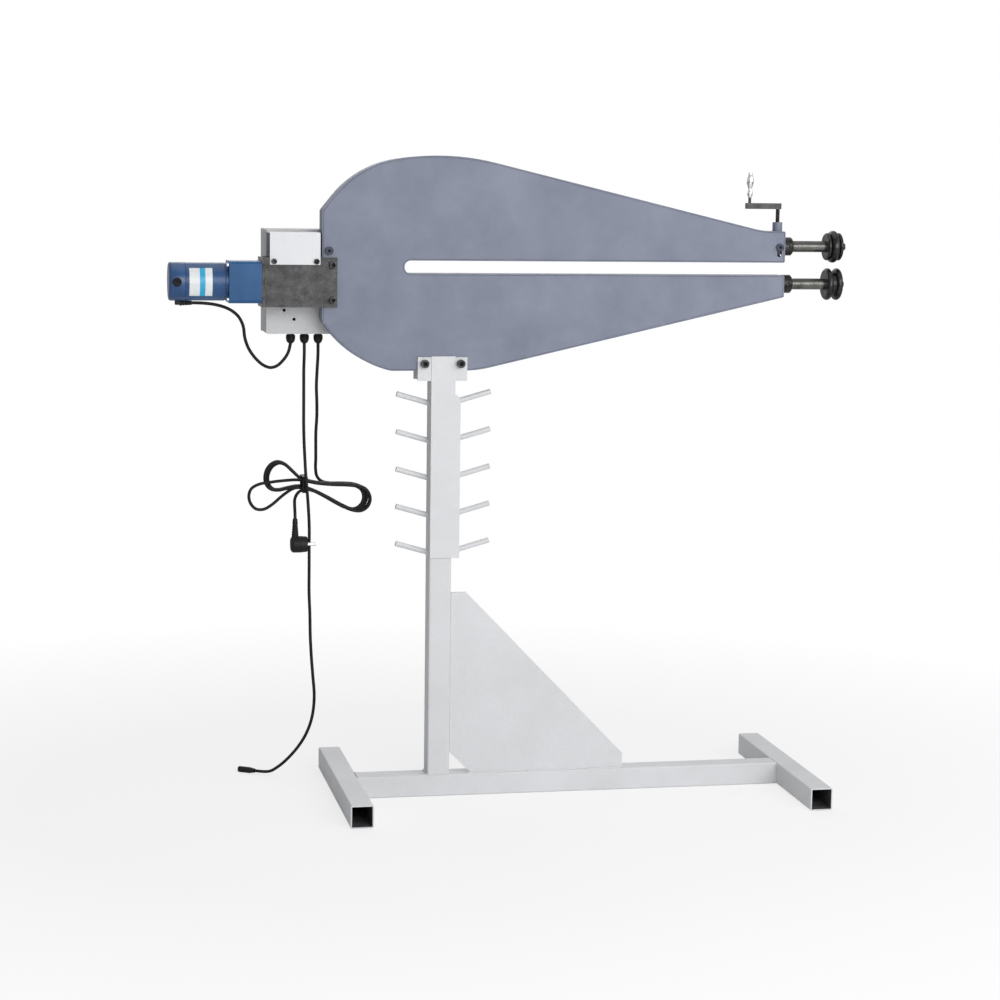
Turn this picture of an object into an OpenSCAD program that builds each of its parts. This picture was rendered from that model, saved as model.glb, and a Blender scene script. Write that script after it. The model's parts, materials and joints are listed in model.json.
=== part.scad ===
// Deep throat bead roller with a geared motor, on a welded floor stand.
// X runs along the throat towards the dies, Y to the rear and Z up.
// The origin is on the floor, under the axis of the column.

/* [Stand] */
// Side of the square tube of the feet, beam and column
tube_w = 50; // [46:1:56]
// Wall of the square tube
tube_wall = 3; // [2:0.5:5]
// Outer corner radius of the square tube
tube_r = 4; // [3:0.5:5]
// Length of each foot, front to rear
foot_len = 550; // [450:10:700]
// Distance from the column axis to the foot under the motor
rear_foot_x = 207; // [160:1:260]
// Distance from the column axis to the foot under the dies
front_foot_x = 815; // [700:5:900]
// Height of the underside of the body above the floor
saddle_z = 955; // [930:1:990]
// Thickness of the gusset
gusset_t = 6; // [4:1:10]
// Height of the gusset above the beam
gusset_h = 412; // [300:1:450]
// Length of the gusset along the beam
gusset_l = 399; // [300:1:450]
// Height of the gusset at its toe and width at its top
gusset_land = 34; // [20:1:50]
// Corner left open for the weld of column and beam
gusset_nick = 50; // [20:1:60]
// Inset of the gusset from the front of the tubes
gusset_inset = 3; // [1:0.5:10]

/* [Die rack and saddle] */
// Width of the rack plate
rack_w = 66; // [60:1:76]
// Width of the neck of the rack plate
neck_w = 54; // [52:1:56]
// Thickness of the rack plate
rack_t = 6; // [5:1:8]
// Height of the lower end of the rack plate above the floor
rack_z = 540; // [500:5:560]
// Height of the wide part of the rack plate
rack_h = 364; // [350:1:370]
// Height of the slope between rack plate and neck
rack_slope = 8; // [4:1:12]
// Height by which the neck laps over the body
neck_lap = 32; // [26:1:36]
// Diameter of a peg
peg_d = 12; // [8:1:14]
// Pegs on each side
peg_count = 5; // [3:1:5]
// Spacing of the pegs
peg_pitch = 83; // [70:1:84]
// Height of the lowest peg above the lower end of the rack plate
peg_first = 10; // [8:1:16]
// Reach of a peg, sideways
peg_reach = 72; // [50:1:90]
// Upward slope of a peg
peg_slope = 16; // [5:1:25]
// Length of a saddle plate along the body
saddle_l = 110; // [108:1:120]
// Height of a saddle plate
saddle_h = 52; // [48:1:56]
// Thickness of a saddle plate
saddle_t = 5; // [4:1:5]
// Lap of a saddle plate over the body
saddle_lap = 30; // [28:1:32]
// Spacing of the saddle bolts
saddle_pitch = 80; // [78:1:82]
// Height of the saddle bolts above the underside of the body
saddle_bolt_rise = 16; // [15:1:18]
// Diameter of the saddle bolts
saddle_bolt_d = 12; // [8:1:12]

/* [Body] */
// Width of the body over its side plates
body_w = 50; // [48:1:52]
// Thickness of the side plates
side_t = 4; // [3:0.5:5]
// Thickness of the strip between the side plates
rim_t = 4; // [3:0.5:4]
// Distance from the column axis to the rear wall of the body
body_rear = 265; // [262:1:275]
// Distance from the column axis to the end of the arms
arm_end = 777; // [700:1:820]
// Depth of the throat slot
throat_len = 862; // [700:1:870]
// Height of the throat slot
slot_h = 28; // [26:1:30]
// Height of the throat slot's middle above the underside of the body
slot_rise = 226; // [222:1:230]
// Height of the upper arm at its nose
upper_nose_h = 70; // [69:1:76]
// Height of the lower arm at its nose
lower_nose_h = 49; // [48:1:54]
// Flat length on top of the upper nose
nose_flat = 51; // [46:1:60]
// Height of the crown corner above the underside
crown_rise = 478; // [460:1:490]
// Height of the rear shoulder corner above the underside
shoulder_rise = 444; // [430:1:450]
// Height of the top of the rear wall above the underside
rear_top_rise = 347; // [335:1:355]
// Height of the foot of the rear wall above the underside
rear_low_rise = 108; // [90:1:112]
// Distance from the column axis to the crown corner
crown_x = 8; // [0:1:20]
// Rounding of the crown
crown_r = 550; // [450:10:560]
// Distance from the column axis to the rear shoulder corner
shoulder_x = 187; // [180:1:190]
// Rounding of the rear shoulder
shoulder_r = 223; // [200:1:225]
// Distance from the column axis to the heel corner
heel_x = 202; // [198:1:206]
// Height of the heel corner above the underside
heel_rise = 25; // [22:1:28]
// Rounding of the heel
heel_r = 278; // [250:1:280]
// Distance from the column axis to the rear end of the flat underside
sole_rear = 115; // [112:1:118]
// Distance from the column axis to the front end of the flat underside
sole_front = 77; // [74:1:90]
// Rounding at the front end of the flat underside
sole_r = 250; // [200:10:260]
// Rounding between the slope and the flat of the upper nose
nose_r = 200; // [150:10:220]

/* [Shafts and dies] */
// Height of the upper shaft above the slot
upper_axis_rise = 36; // [36:0.5:38]
// Depth of the lower shaft below the slot
lower_axis_drop = 20; // [20:0.5:22]
// Diameter of the lower shaft, and of the upper one outside the arm
shaft_d = 25; // [22:0.5:25]
// Diameter of the upper shaft inside its carrier
journal_d = 20; // [16:0.5:20]
// Wall of a bronze bush
bush_wall = 2; // [1.5:0.5:2]
// Wall of the bushes in the carrier
carrier_bush_wall = 3; // [2:0.5:3]
// Distance from the end of the arms to the middle of the dies
die_overhang = 119; // [100:1:150]
// Diameter of a die
die_d = 72; // [70:1:74]
// Diameter of the shoulders of the upper die
die_shoulder_d = 54; // [50:1:56]
// Width of a die
die_w = 35; // [34:1:40]
// Diameter of the spigot that carries a die
spigot_d = 18; // [16:0.5:20]
// Spacing of the flanges of the lower die
flange_pitch = 22; // [21:0.5:24]
// Radius of the flanges' rounding
flange_r = 6.5; // [5:0.25:6.5]
// Diameter of the groove of the lower die
groove_d = 54; // [50:1:55]
// Diameter of a shaft collar
collar_d = 41; // [38:1:44]
// Length of a shaft collar
collar_l = 21; // [15:1:25]
// Side of the carrier tube of the upper shaft
carrier_w = 34; // [33:0.5:34]
// Wall of the carrier tube
carrier_wall = 3; // [2:0.5:4]
// Distance from the rear wall to the pivot of the carrier
pivot_inset = 15; // [14:1:18]
// Depth of the carrier's pivot below the upper shaft
pivot_drop = 16; // [10:0.5:16]
// Diameter of the pivot bolt
pivot_d = 12; // [8:1:12]
// Length of a carrier bush
carrier_bush_l = 34; // [25:1:40]
// Diameter of the guide bolt's shoulder
guide_d = 10; // [8:0.5:10]
// Diameter of the guide bolt's head
guide_head_d = 17; // [14:1:18]
// Distance from the end of the arm to the return spring
spring_inset = 217; // [180:1:260]

/* [Pressure screw and crank] */
// Travel of the upper die's carrier at the screw
feed_travel = 14; // [10:0.5:14]
// Distance from the end of the arm to the axis of the screw
screw_inset = 12; // [11:0.5:14]
// Diameter of the pressure screw
screw_d = 10; // [8:0.5:12]
// Outer diameter of the threaded boss
boss_d = 22; // [18:1:22]
// Height of the threaded boss
boss_h = 20; // [12:1:24]
// Height of the screw that shows between boss and crank
screw_free = 29; // [17:1:40]
// Throw of the crank
crank_throw = 66; // [50:1:90]
// Height of the crank bar
crank_h = 13; // [10:1:16]
// Width of the crank bar
crank_w = 16; // [13:1:20]
// Diameter of the pin of the grip
grip_pin_d = 6.5; // [5:0.5:8]
// Length of the pin below the grip
grip_pin_free = 12; // [6:1:16]
// Length of the grip
grip_l = 57; // [45:1:70]
// Largest diameter of the grip
grip_d = 16; // [13:1:20]

/* [Drive] */
// Thickness of the bracket plates
bracket_t = 8; // [7:0.5:8]
// Height of the bracket plates
bracket_h = 107; // [104:1:112]
// Lap of the bracket plates over the body
bracket_lap = 32; // [28:1:38]
// Clear length between the motor plate and the body
bracket_gap = 126; // [124:1:140]
// Thickness of the motor plate
motor_plate_t = 6; // [5:0.5:8]
// Side of the gearbox and of the motor plate
gearbox_w = 90; // [86:1:96]
// Length of the gearbox
gearbox_l = 70; // [66:1:80]
// Diameter of the motor
motor_d = 82; // [76:1:86]
// Length of the motor in front of its end cover
motor_l = 92; // [85:1:120]
// Length of the motor's end cover
end_cover_l = 35; // [30:1:45]
// Diameter of the gearbox output shaft
output_d = 16; // [12:0.5:18]
// Diameter of the coupling
coupling_d = 44; // [38:1:44]
// Length of one coupling hub
hub_l = 35; // [28:1:38]
// Thickness of the coupling's elastic star
star_t = 15; // [10:1:16]
// Length of the coupling guard
guard_l = 109; // [100:1:112]
// Height of the coupling guard
guard_h = 69; // [60:1:75]
// Thickness of the guard's sheet
guard_t = 2; // [1.5:0.5:2.5]

/* [Control box] */
// Width of the control box
box_w = 180; // [170:1:190]
// Height of the control box
box_h = 227; // [220:1:240]
// Depth of the control box
box_d = 115; // [110:1:130]
// Thickness of the control box's sheet
box_t = 2; // [1.5:0.5:2.5]
// Width of the rim behind the door
box_lip = 12; // [10:1:14]
// Distance from the motor plate to the control box
box_shift = 11; // [10:0.5:13]
// Depth of the control box's floor below the shaft
box_drop = 115; // [112:1:118]
// Distance from the front of the control box to the cable glands
gland_inset = 55; // [50:1:60]
// Spacing of the cable glands
gland_pitch = 30.5; // [28:0.5:34]
// Diameter of a gland's dome
gland_d = 20.7; // [18:0.1:22]
// Diameter of the leads
lead_d = 7; // [7:1:7]

/* [Hidden] */

$fn = 48;

// Clearances
run_gap = 0.05;      // shaft in its bush, on the radius
bolt_gap = 0.3;      // bolt in its hole, on the radius
move_gap = 0.3;      // between flat faces that move past each other
wide_gap = 1;        // round the shafts where they pass through the walls

// Colours
paint_grey_blue = "#8e95a8";
paint_light_grey = "#dcdddf";
paint_white = "#eeeff1";
paint_box = "#b4b6b8";
steel_dark = "#5f5f60";
steel_bright = "#c4c6c9";
oxide_black = "#2e2e30";
bronze = "#b08d57";
motor_blue = "#2f5390";
rubber_black = "#1c1c1d";
star_red = "#b03a2e";

// Heights and places that follow from the values above
half_w = body_w / 2;
inner_half = half_w - side_t;
slot_z = saddle_z + slot_rise;
slot_top = slot_z + slot_h / 2;
slot_bottom = slot_z - slot_h / 2;
upper_nose_z = slot_top + upper_nose_h;
lower_nose_z = slot_bottom - lower_nose_h;
slot_end = arm_end - throat_len;
upper_z = slot_top + upper_axis_rise;
lower_z = slot_bottom - lower_axis_drop;
die_x = arm_end + die_overhang;
die_x0 = die_x - die_w / 2;
pivot_x = -body_rear + pivot_inset;
pivot_z = upper_z - pivot_drop;
screw_x = arm_end - screw_inset;
carrier_end = arm_end - rim_t - 2;
carrier_top = upper_z + carrier_w / 2;
carrier_rear = -body_rear + 65;
guide_x = screw_x - 1;
guide_z = upper_z - 2;
guide_thread = 3;
bush_od = shaft_d + 2 * bush_wall;
carrier_bush_od = journal_d + 2 * carrier_bush_wall;

// Body outline: corner x, corner z, radius, segments of its arc
body_outline = fitted([
    [-body_rear, saddle_z + rear_low_rise, 20, 3],
    [-heel_x, saddle_z + heel_rise, heel_r, 12],
    [-sole_rear, saddle_z, 60, 3],
    [sole_front, saddle_z, sole_r, 4],
    [arm_end, lower_nose_z, 3, 2],
    [arm_end, slot_bottom, 3, 2],
    [slot_end, slot_bottom, slot_h / 2 - 0.5, 6],
    [slot_end, slot_top, slot_h / 2 - 0.5, 6],
    [arm_end, slot_top, 3, 2],
    [arm_end, upper_nose_z, 3, 2],
    [arm_end - nose_flat, upper_nose_z, nose_r, 4],
    [crown_x, saddle_z + crown_rise, crown_r, 10],
    [-shoulder_x, saddle_z + shoulder_rise, shoulder_r, 10],
    [-body_rear, saddle_z + rear_top_rise, 8, 3]
]);

// Drive line
drive_x = -body_rear - bracket_gap;
motor_plate_x = drive_x - motor_plate_t;
gearbox_x = motor_plate_x - gearbox_l;
motor_x = gearbox_x - motor_l;
end_cover_x = motor_x - end_cover_l;
hub_x = drive_x + 6;
star_x = hub_x + hub_l;
shaft_hub_x = star_x + star_t;
bracket_x1 = -body_rear + bracket_lap;
bracket_screw_x = -body_rear + 22;
bracket_screw_rise = 38;
bracket_y = half_w + bracket_t;
gearbox_screw_at = gearbox_w / 2 - 8.5;
gear_module = 1;
pinion_teeth = 13;
gear_teeth = 31;
gear_distance = gear_module * (pinion_teeth + gear_teeth) / 2;
gear_w = 9;
gearbox_wall = 10;

// Control box
box_x = drive_x + box_shift;
box_z = lower_z - box_drop;
box_y = bracket_y;
door_y = box_y + box_d + move_gap;
hinge_x = box_x + box_w + 4.5;
hinge_y = door_y + box_t / 2;
box_mid_x = box_x + box_w / 2;
box_mid_z = box_z + box_h / 2;
lock_x = box_x + box_t + box_lip + 10;
gland_y = box_y + gland_inset;
gland_x = box_mid_x - gland_pitch;
gland_drop = 24;

// Routes of the leads, from the gland or the motor onwards
motor_route = [[-568, 0, 1101], [-547, 2, 1101], [-518, 6, 1100], [-489, 11, 1096], [-459, 17, 1085],
    [-441, 23, 1070], [-431, 29, 1051], [-426, 36, 1022], [-418, 43, 1001], [-401, 51, 977],
    [-380, 60, 960], [-367, 66, 956], [-353, 72, 959], [-338, 79, 971], [-326, 85, 988],
    [-320.5, 88, 1008]];
pedal_route = [[-290, 88, 1008], [-290, 88, 985], [-291, 88, 950], [-291, 88, 910], [-291, 88, 870],
    [-291, 88, 830], [-290, 88, 790], [-288, 88, 750], [-286, 88, 715], [-283, 88, 680],
    [-280, 88, 640], [-278, 88, 600], [-278, 88, 550], [-278, 88, 500], [-278, 88, 450],
    [-276, 88, 400], [-275, 88, 350], [-272, 90, 300], [-268, 94, 255], [-264, 102, 215],
    [-264, 114, 180], [-268, 130, 145], [-278, 148, 110], [-293, 168, 78], [-313, 188, 48],
    [-334, 207, 24], [-352, 222, 10], [-370, 235, 7], [-384, 244, 7]];
mains_route = [[-259.5, 88, 1008], [-259.5, 88, 985], [-261, 90, 950], [-262, 95, 912],
    [-260, 102, 876], [-259, 110, 842], [-260, 118, 808], [-259, 127, 774], [-258, 134, 746],
    [-257.8, 139, 722], [-255.2, 141, 707], [-249.5, 142.3, 698.2], [-241.5, 143, 692.8]];

// Hank of the mains lead: loops to both sides of a waist, from the rear to
// the front. Each loop has its own reach and width, and the last one on the
// left droops. Every fold's radius is three diameters of the lead or more.
hank_x = -286;
hank_y = 143;
hank_z = 691;
hank_start = 70;
hank_turns = 4.43;
hank_steps = 106;
hank_pitch = 8.5;
hank_tilt = 16;
hank_droop = 2;
hank_waist = 8;
hank_right = [150, 156, 146, 138, 153];
hank_left = [88, 82, 90, 128];
hank_right_swell = [68, 67, 67, 65, 67];
hank_left_swell = [60, 57, 60, 70];
hank_short = 100;
tail_route = [[-284.6, 104.5, 680.5], [-293.2, 102.5, 678.8], [-300.8, 99, 674.6],
    [-306.8, 94, 668.2], [-310.5, 88, 660.2], [-311.6, 82, 652], [-312, 74, 640], [-312, 69.5, 630],
    [-312, 68, 620]];
tie_w = 12;

// Direction, turn and rounding of an outline
function unit(v) = v / norm(v);
function perp(v) = [-v[1], v[0]];
function xz(p) = [p[0], p[1]];
function turn(a, b) = atan2(a[0] * b[1] - a[1] * b[0], a * b);
function rot(v, a) = [v[0] * cos(a) - v[1] * sin(a), v[0] * sin(a) + v[1] * cos(a)];

function round_corner(before, at, after) =
    let (d1 = unit(xz(at) - xz(before)), d2 = unit(xz(after) - xz(at)), a = turn(d1, d2))
    let (r = at[2], n = at[3], start = xz(at) - d1 * r * tan(abs(a) / 2))
    let (centre = start + perp(d1) * r * sign(a))
    r == 0 ? [xz(at)] : [for (k = [0:n]) centre + rot(start - centre, a * k / n)];

// Radii made smaller where two arcs would need more than the side between them
function side_of(v, i) = let (n = len(v)) xz(v[(i + 1) % n]) - xz(v[i % n]);
function arc_reach(v, i) =
    let (n = len(v)) v[i % n][2] * tan(abs(turn(side_of(v, i + n - 1), side_of(v, i))) / 2);
function side_room(v, i) = 0.98 * norm(side_of(v, i)) / max(1, arc_reach(v, i) + arc_reach(v, i + 1));
function fitted(v) =
    let (n = len(v))
    [for (i = [0:n - 1]) let (p = v[i])
        [p[0], p[1], p[2] * min(1, side_room(v, i), side_room(v, i + n - 1)), p[3]]];

function rounded(v) =
    let (n = len(v))
    [for (i = [0:n - 1]) each round_corner(v[(i + n - 1) % n], v[i], v[(i + 1) % n])];

// Outline moved inwards by t, with its arcs about the same centres
function inset_corner(before, at, after, t) =
    let (d1 = unit(xz(at) - xz(before)), d2 = unit(xz(after) - xz(at)), a = turn(d1, d2))
    let (n1 = perp(d1), n2 = perp(d2), p = xz(at) + t * (n1 + n2) / (1 + n1 * n2))
    [p[0], p[1], max(0, at[2] - t * sign(a)), at[3]];

function inset(v, t) =
    let (n = len(v))
    [for (i = [0:n - 1]) inset_corner(v[(i + n - 1) % n], v[i], v[(i + 1) % n], t)];

// Tube swept through points, each ring square to the route
function tangent(p, i) = unit(p[min(i + 1, len(p) - 1)] - p[max(i - 1, 0)]);
function ring(c, t, r, sides) =
    let (side = unit([0, 1, 0] - t * t[1]), up = cross(t, side))
    [for (k = [0:sides - 1]) c + r * (side * cos(360 * k / sides) + up * sin(360 * k / sides))];

module swept(p, d, sides, first = undef, last = undef) {
    n = len(p);
    tangents = [for (i = [0:n - 1])
        i == 0 && first != undef ? first : i == n - 1 && last != undef ? last : tangent(p, i)];
    points = [for (i = [0:n - 1]) each ring(p[i], tangents[i], d / 2, sides)];
    walls = [for (i = [0:n - 2], k = [0:sides - 1])
        let (a = i * sides + k, b = i * sides + (k + 1) % sides)
        each [[a, b, a + sides], [b, b + sides, a + sides]]];
    caps = [for (k = [1:sides - 2])
        each [[0, k + 1, k], [(n - 1) * sides, (n - 1) * sides + k, (n - 1) * sides + k + 1]]];
    polyhedron(points, concat(walls, caps), convexity = 10);
}

// Upright plate from an outline in X and Z, from y0 to y1
module upright(y0, y1) translate([0, y1, 0]) rotate([90, 0, 0]) linear_extrude(y1 - y0) children();

// Cylinders along X and along Y
module rod_x(x0, x1, d, y = 0, z = 0) translate([x0, y, z]) rotate([0, 90, 0]) cylinder(h = x1 - x0, d = d);
module rod_y(y0, y1, d, x = 0, z = 0) translate([x, y1, z]) rotate([90, 0, 0]) cylinder(h = y1 - y0, d = d);

// Box between two corners
module block(a, b) translate(a) cube(b - a);

module tube_section(w, r) {
    square([w, w - 2 * r], center = true);
    square([w - 2 * r, w], center = true);
    for (x = [-1, 1], y = [-1, 1])
        translate([x, y] * (w / 2 - r)) circle(r);
}

module square_tube(l) linear_extrude(l) difference() {
    tube_section(tube_w, tube_r);
    tube_section(tube_w - 2 * tube_wall, max(0.5, tube_r - tube_wall));
}

module hex_nut(af, h) rotate([0, 0, 30]) cylinder(h = h, d = af / cos(30), $fn = 6);

// Stand

module foot_at(x) color(paint_light_grey)
    translate([x, foot_len / 2, tube_w / 2]) rotate([90, 0, 0]) square_tube(foot_len);

module left_foot() foot_at(-rear_foot_x);

module right_foot() foot_at(front_foot_x);

module cross_beam() color(paint_light_grey)
    translate([-rear_foot_x + tube_w / 2, 0, tube_w / 2]) rotate([0, 90, 0])
        square_tube(front_foot_x + rear_foot_x - tube_w);

module column() color(paint_light_grey)
    translate([0, 0, tube_w]) square_tube(saddle_z - tube_w);

module gusset_plate() color(paint_light_grey) {
    x = tube_w / 2;
    z = tube_w;
    y = -tube_w / 2 + gusset_inset;
    upright(y, y + gusset_t) polygon([[x + gusset_nick, z], [x + gusset_l, z],
        [x + gusset_l, z + gusset_land], [x + gusset_land, z + gusset_h], [x, z + gusset_h],
        [x, z + gusset_nick]]);
}

module rack_plate() color(paint_light_grey) {
    x = -tube_w / 2;
    top = rack_z + rack_h;
    upright(-half_w - rack_t, -half_w) polygon([[x, rack_z], [x + rack_w, rack_z],
        [x + rack_w, top - rack_slope], [x + neck_w, top], [x + neck_w, saddle_z + neck_lap],
        [x, saddle_z + neck_lap]]);
}

module peg(x, side, reach) {
    // The root is cut flat where it is welded to the column
    l = reach / cos(peg_slope);
    intersection() {
        translate([x, 0, 0]) rotate([0, side * (90 - peg_slope), 0])
            translate([0, 0, -peg_d]) cylinder(h = l + peg_d, d = peg_d);
        translate([x + side * reach, 0, reach / 2]) cube([2 * reach, 3 * peg_d, 2 * reach], center = true);
    }
}

module die_pegs() color(paint_light_grey)
    for (i = [0:peg_count - 1]) translate([0, 0, rack_z + peg_first + i * peg_pitch]) {
        peg(-tube_w / 2, -1, peg_reach);
        peg(tube_w / 2, 1, peg_reach + rack_w - tube_w);
    }

module saddle_holes(y0, y1, d)
    for (s = [-1, 1]) rod_y(y0, y1, d, s * saddle_pitch / 2, saddle_z + saddle_bolt_rise);

module saddle_plates() color(paint_light_grey) {
    z0 = saddle_z + saddle_lap - saddle_h;
    z1 = saddle_z + saddle_lap;
    difference() {
        union() {
            block([-saddle_l / 2, -half_w - saddle_t, z0], [-tube_w / 2, -half_w, z1]);
            block([neck_w - tube_w / 2, -half_w - saddle_t, z0], [saddle_l / 2, -half_w, z1]);
            block([-saddle_l / 2, half_w, z0], [saddle_l / 2, half_w + saddle_t, z1]);
        }
        saddle_holes(-half_w - 10, half_w + 10, saddle_bolt_d + 2 * bolt_gap);
    }
}

module cap_head(y, d, h, socket) difference() {
    rod_y(y - h, y, d);
    translate([0, y - h / 2, 0]) rotate([90, 0, 0]) cylinder(h = h, d = socket / cos(30), $fn = 6);
}

module saddle_bolts() color(oxide_black)
    for (s = [-1, 1]) translate([s * saddle_pitch / 2, 0, saddle_z + saddle_bolt_rise]) {
        y = half_w + saddle_t;
        cap_head(-y, saddle_bolt_d * 1.5, saddle_bolt_d, saddle_bolt_d * 0.8);
        rod_y(-y, y + saddle_bolt_d, saddle_bolt_d);
        translate([0, y, 0]) rotate([-90, 0, 0]) difference() {
            hex_nut(saddle_bolt_d * 1.5, saddle_bolt_d * 0.8);
            translate([0, 0, -1]) cylinder(h = saddle_bolt_d, d = saddle_bolt_d + 2 * run_gap);
        }
    }

// Body

module bracket_holes(y0, y1, d)
    for (s = [-1, 1]) rod_y(y0, y1, d, bracket_screw_x, lower_z + s * bracket_screw_rise);

module side_plate(y0, y1) difference() {
    upright(y0, y1) polygon(rounded(body_outline));
    saddle_holes(y0 - 1, y1 + 1, saddle_bolt_d + 2 * bolt_gap);
    bracket_holes(y0 - 1, y1 + 1, 10 + 2 * bolt_gap);
    rod_y(y0 - 1, y1 + 1, pivot_d + 2 * run_gap, pivot_x, pivot_z);
}

module front_side_plate() color(paint_grey_blue) difference() {
    side_plate(-half_w, -inner_half);
    translate([guide_x, -half_w - 1, guide_z]) rotate([-90, 0, 0])
        linear_extrude(side_t + 2) {
            circle(d = guide_d + 1);
            translate([-guide_d / 2 - 0.5, 0]) square([guide_d + 1, feed_travel + 2]);
            translate([0, feed_travel + 2]) circle(d = guide_d + 1);
        }
}

module rear_side_plate() color(paint_grey_blue) side_plate(inner_half, half_w);

module rim_strip() color(paint_grey_blue) difference() {
    upright(-inner_half, inner_half) difference() {
        polygon(rounded(body_outline));
        polygon(rounded(inset(body_outline, rim_t)));
    }
    // Shaft holes in the noses and in the rear wall
    rod_x(arm_end - rim_t - 1, arm_end + 1, shaft_d + 2 * wide_gap, 0, lower_z);
    rod_x(-body_rear - 1, -body_rear + rim_t + 1, shaft_d + 2 * wide_gap, 0, lower_z);
    rod_x(arm_end - rim_t - 1, arm_end + 1, journal_d + 4, 0, upper_z);
    rod_x(arm_end - rim_t - 1, arm_end + 1, journal_d + 4, 0, upper_z - feed_travel - 0.5);
    block([arm_end - rim_t - 1, -journal_d / 2 - 2, upper_z - feed_travel - 0.5],
        [arm_end + 1, journal_d / 2 + 2, upper_z]);
    translate([screw_x, 0, upper_nose_z - rim_t - 1])
        cylinder(h = rim_t + 2, d = screw_d + 2 * bolt_gap);
}

module screw_boss() color(paint_grey_blue) translate([screw_x, 0, upper_nose_z]) difference() {
    cylinder(h = boss_h, d = boss_d);
    translate([0, 0, -1]) cylinder(h = boss_h + 2, d = screw_d + 2 * run_gap);
}

rear_block_x1 = -body_rear + rim_t + 45;
rear_block_half = 43;
nose_block_x0 = arm_end - rim_t - 34;

module rear_bearing_block() color(steel_dark) difference() {
    block([-body_rear + rim_t, -inner_half, lower_z - rear_block_half],
        [rear_block_x1, inner_half, lower_z + rear_block_half]);
    rod_x(-body_rear, rear_block_x1 + 1, bush_od, 0, lower_z);
    bracket_holes(-inner_half - 1, -inner_half + 18, 10 + 2 * run_gap);
    bracket_holes(inner_half - 18, inner_half + 1, 10 + 2 * run_gap);
}

module nose_bearing_block() color(steel_dark) difference() {
    block([nose_block_x0, -inner_half, lower_nose_z + rim_t + 1],
        [arm_end - rim_t, inner_half, slot_bottom - rim_t]);
    rod_x(nose_block_x0 - 1, arm_end, bush_od, 0, lower_z);
}

module bush_x(x0, x1, od, id, z) difference() {
    rod_x(x0, x1, od, 0, z);
    rod_x(x0 - 1, x1 + 1, id + 2 * run_gap, 0, z);
}

module lower_bushes() color(bronze) {
    bush_x(-body_rear + rim_t, rear_block_x1, bush_od, shaft_d, lower_z);
    bush_x(nose_block_x0, arm_end - rim_t, bush_od, shaft_d, lower_z);
}

// Lower shaft line

collar_x = arm_end + 1;
die_screw_l = 20;
washer_t = 2;

module spigot_end(z, screw) difference() {
    rod_x(die_x0 - 1, die_x0 + die_w - 1, spigot_d, 0, z);
    rod_x(die_x0 + die_w - 1 - die_screw_l, die_x0 + die_w, screw, 0, z);
}

module lower_shaft() color(oxide_black) {
    rod_x(shaft_hub_x, die_x0, shaft_d, 0, lower_z);
    spigot_end(lower_z, 8);
}

module collar(z, d) color(oxide_black) difference() {
    union() {
        rod_x(collar_x, collar_x + collar_l - 3, collar_d, 0, z);
        translate([collar_x + collar_l - 3, 0, z]) rotate([0, 90, 0])
            cylinder(h = 3, d1 = collar_d, d2 = collar_d - 6);
    }
    rod_x(collar_x - 1, collar_x + collar_l + 1, d + 2 * run_gap, 0, z);
    translate([collar_x + collar_l / 2, 0, z]) rotate([90, 0, 0]) cylinder(h = collar_d, d = 6);
}

module lower_collar() collar(lower_z, shaft_d);

// Die profile: distance along the axis and radius, turned about the shaft
module turned_die(z) translate([die_x, 0, z]) rotate([0, 90, 0]) difference() {
    rotate_extrude() children();
    translate([0, 0, -die_w]) cylinder(h = 2 * die_w, d = spigot_d + 2 * run_gap);
}

module lower_die() color(oxide_black) turned_die(lower_z) {
    translate([0, -die_w / 2]) square([groove_d / 2, die_w]);
    for (s = [-1, 1]) {
        translate([die_d / 2 - flange_r, s * flange_pitch / 2]) circle(flange_r);
        translate([groove_d / 4, s * flange_pitch / 2 - flange_r])
            square([die_d / 2 - flange_r - groove_d / 4, 2 * flange_r]);
    }
}

module die_screw(z, d, head, head_h) color(oxide_black) {
    x = die_x0 + die_w;
    difference() {
        rod_x(x, x + washer_t, spigot_d + 6, 0, z);
        rod_x(x - 1, x + washer_t + 1, d + 2 * run_gap, 0, z);
    }
    rod_x(x - die_screw_l + 1, x + washer_t, d - 2 * run_gap, 0, z);
    difference() {
        rod_x(x + washer_t, x + washer_t + head_h, head, 0, z);
        translate([x + washer_t + head_h / 2, 0, z]) rotate([0, 90, 0])
            cylinder(h = head_h, d = head / 2 / cos(30), $fn = 6);
    }
}

module lower_die_screw() die_screw(lower_z, 8, 13, 8);

// Upper shaft line

module upper_carrier() color(steel_dark) {
    inner = carrier_w - 2 * carrier_wall;
    difference() {
        union() {
            block([carrier_rear, -carrier_w / 2, upper_z - carrier_w / 2],
                [carrier_end, carrier_w / 2, carrier_top]);
            block([pivot_x - 10, -carrier_w / 2, pivot_z - 12],
                [carrier_rear, carrier_w / 2, carrier_top]);
            // Eye of the return spring
            block([spring_x - 6, -2, carrier_top - 1], [spring_x + 6, 2, eye_z + eye_d / 2 + 2]);
        }
        rod_y(-3, 3, eye_d, spring_x, eye_z);
        // Hollow of the tube between the two bush seats
        block([carrier_rear + carrier_bush_l, -inner / 2, upper_z - inner / 2],
            [carrier_end - carrier_bush_l, inner / 2, upper_z + inner / 2]);
        rod_x(carrier_rear + 1, carrier_end + 1, carrier_bush_od, 0, upper_z);
        rod_y(-carrier_w, carrier_w, pivot_d + 2 * run_gap, pivot_x, pivot_z);
        rod_y(-carrier_w, -carrier_w / 2 + guide_thread, 8 + 2 * run_gap, guide_x, guide_z);
    }
}

module upper_bushes() color(bronze) {
    bush_x(carrier_rear + 1, carrier_rear + carrier_bush_l, carrier_bush_od, journal_d, upper_z);
    bush_x(carrier_end - carrier_bush_l, carrier_end, carrier_bush_od, journal_d, upper_z);
}

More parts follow.
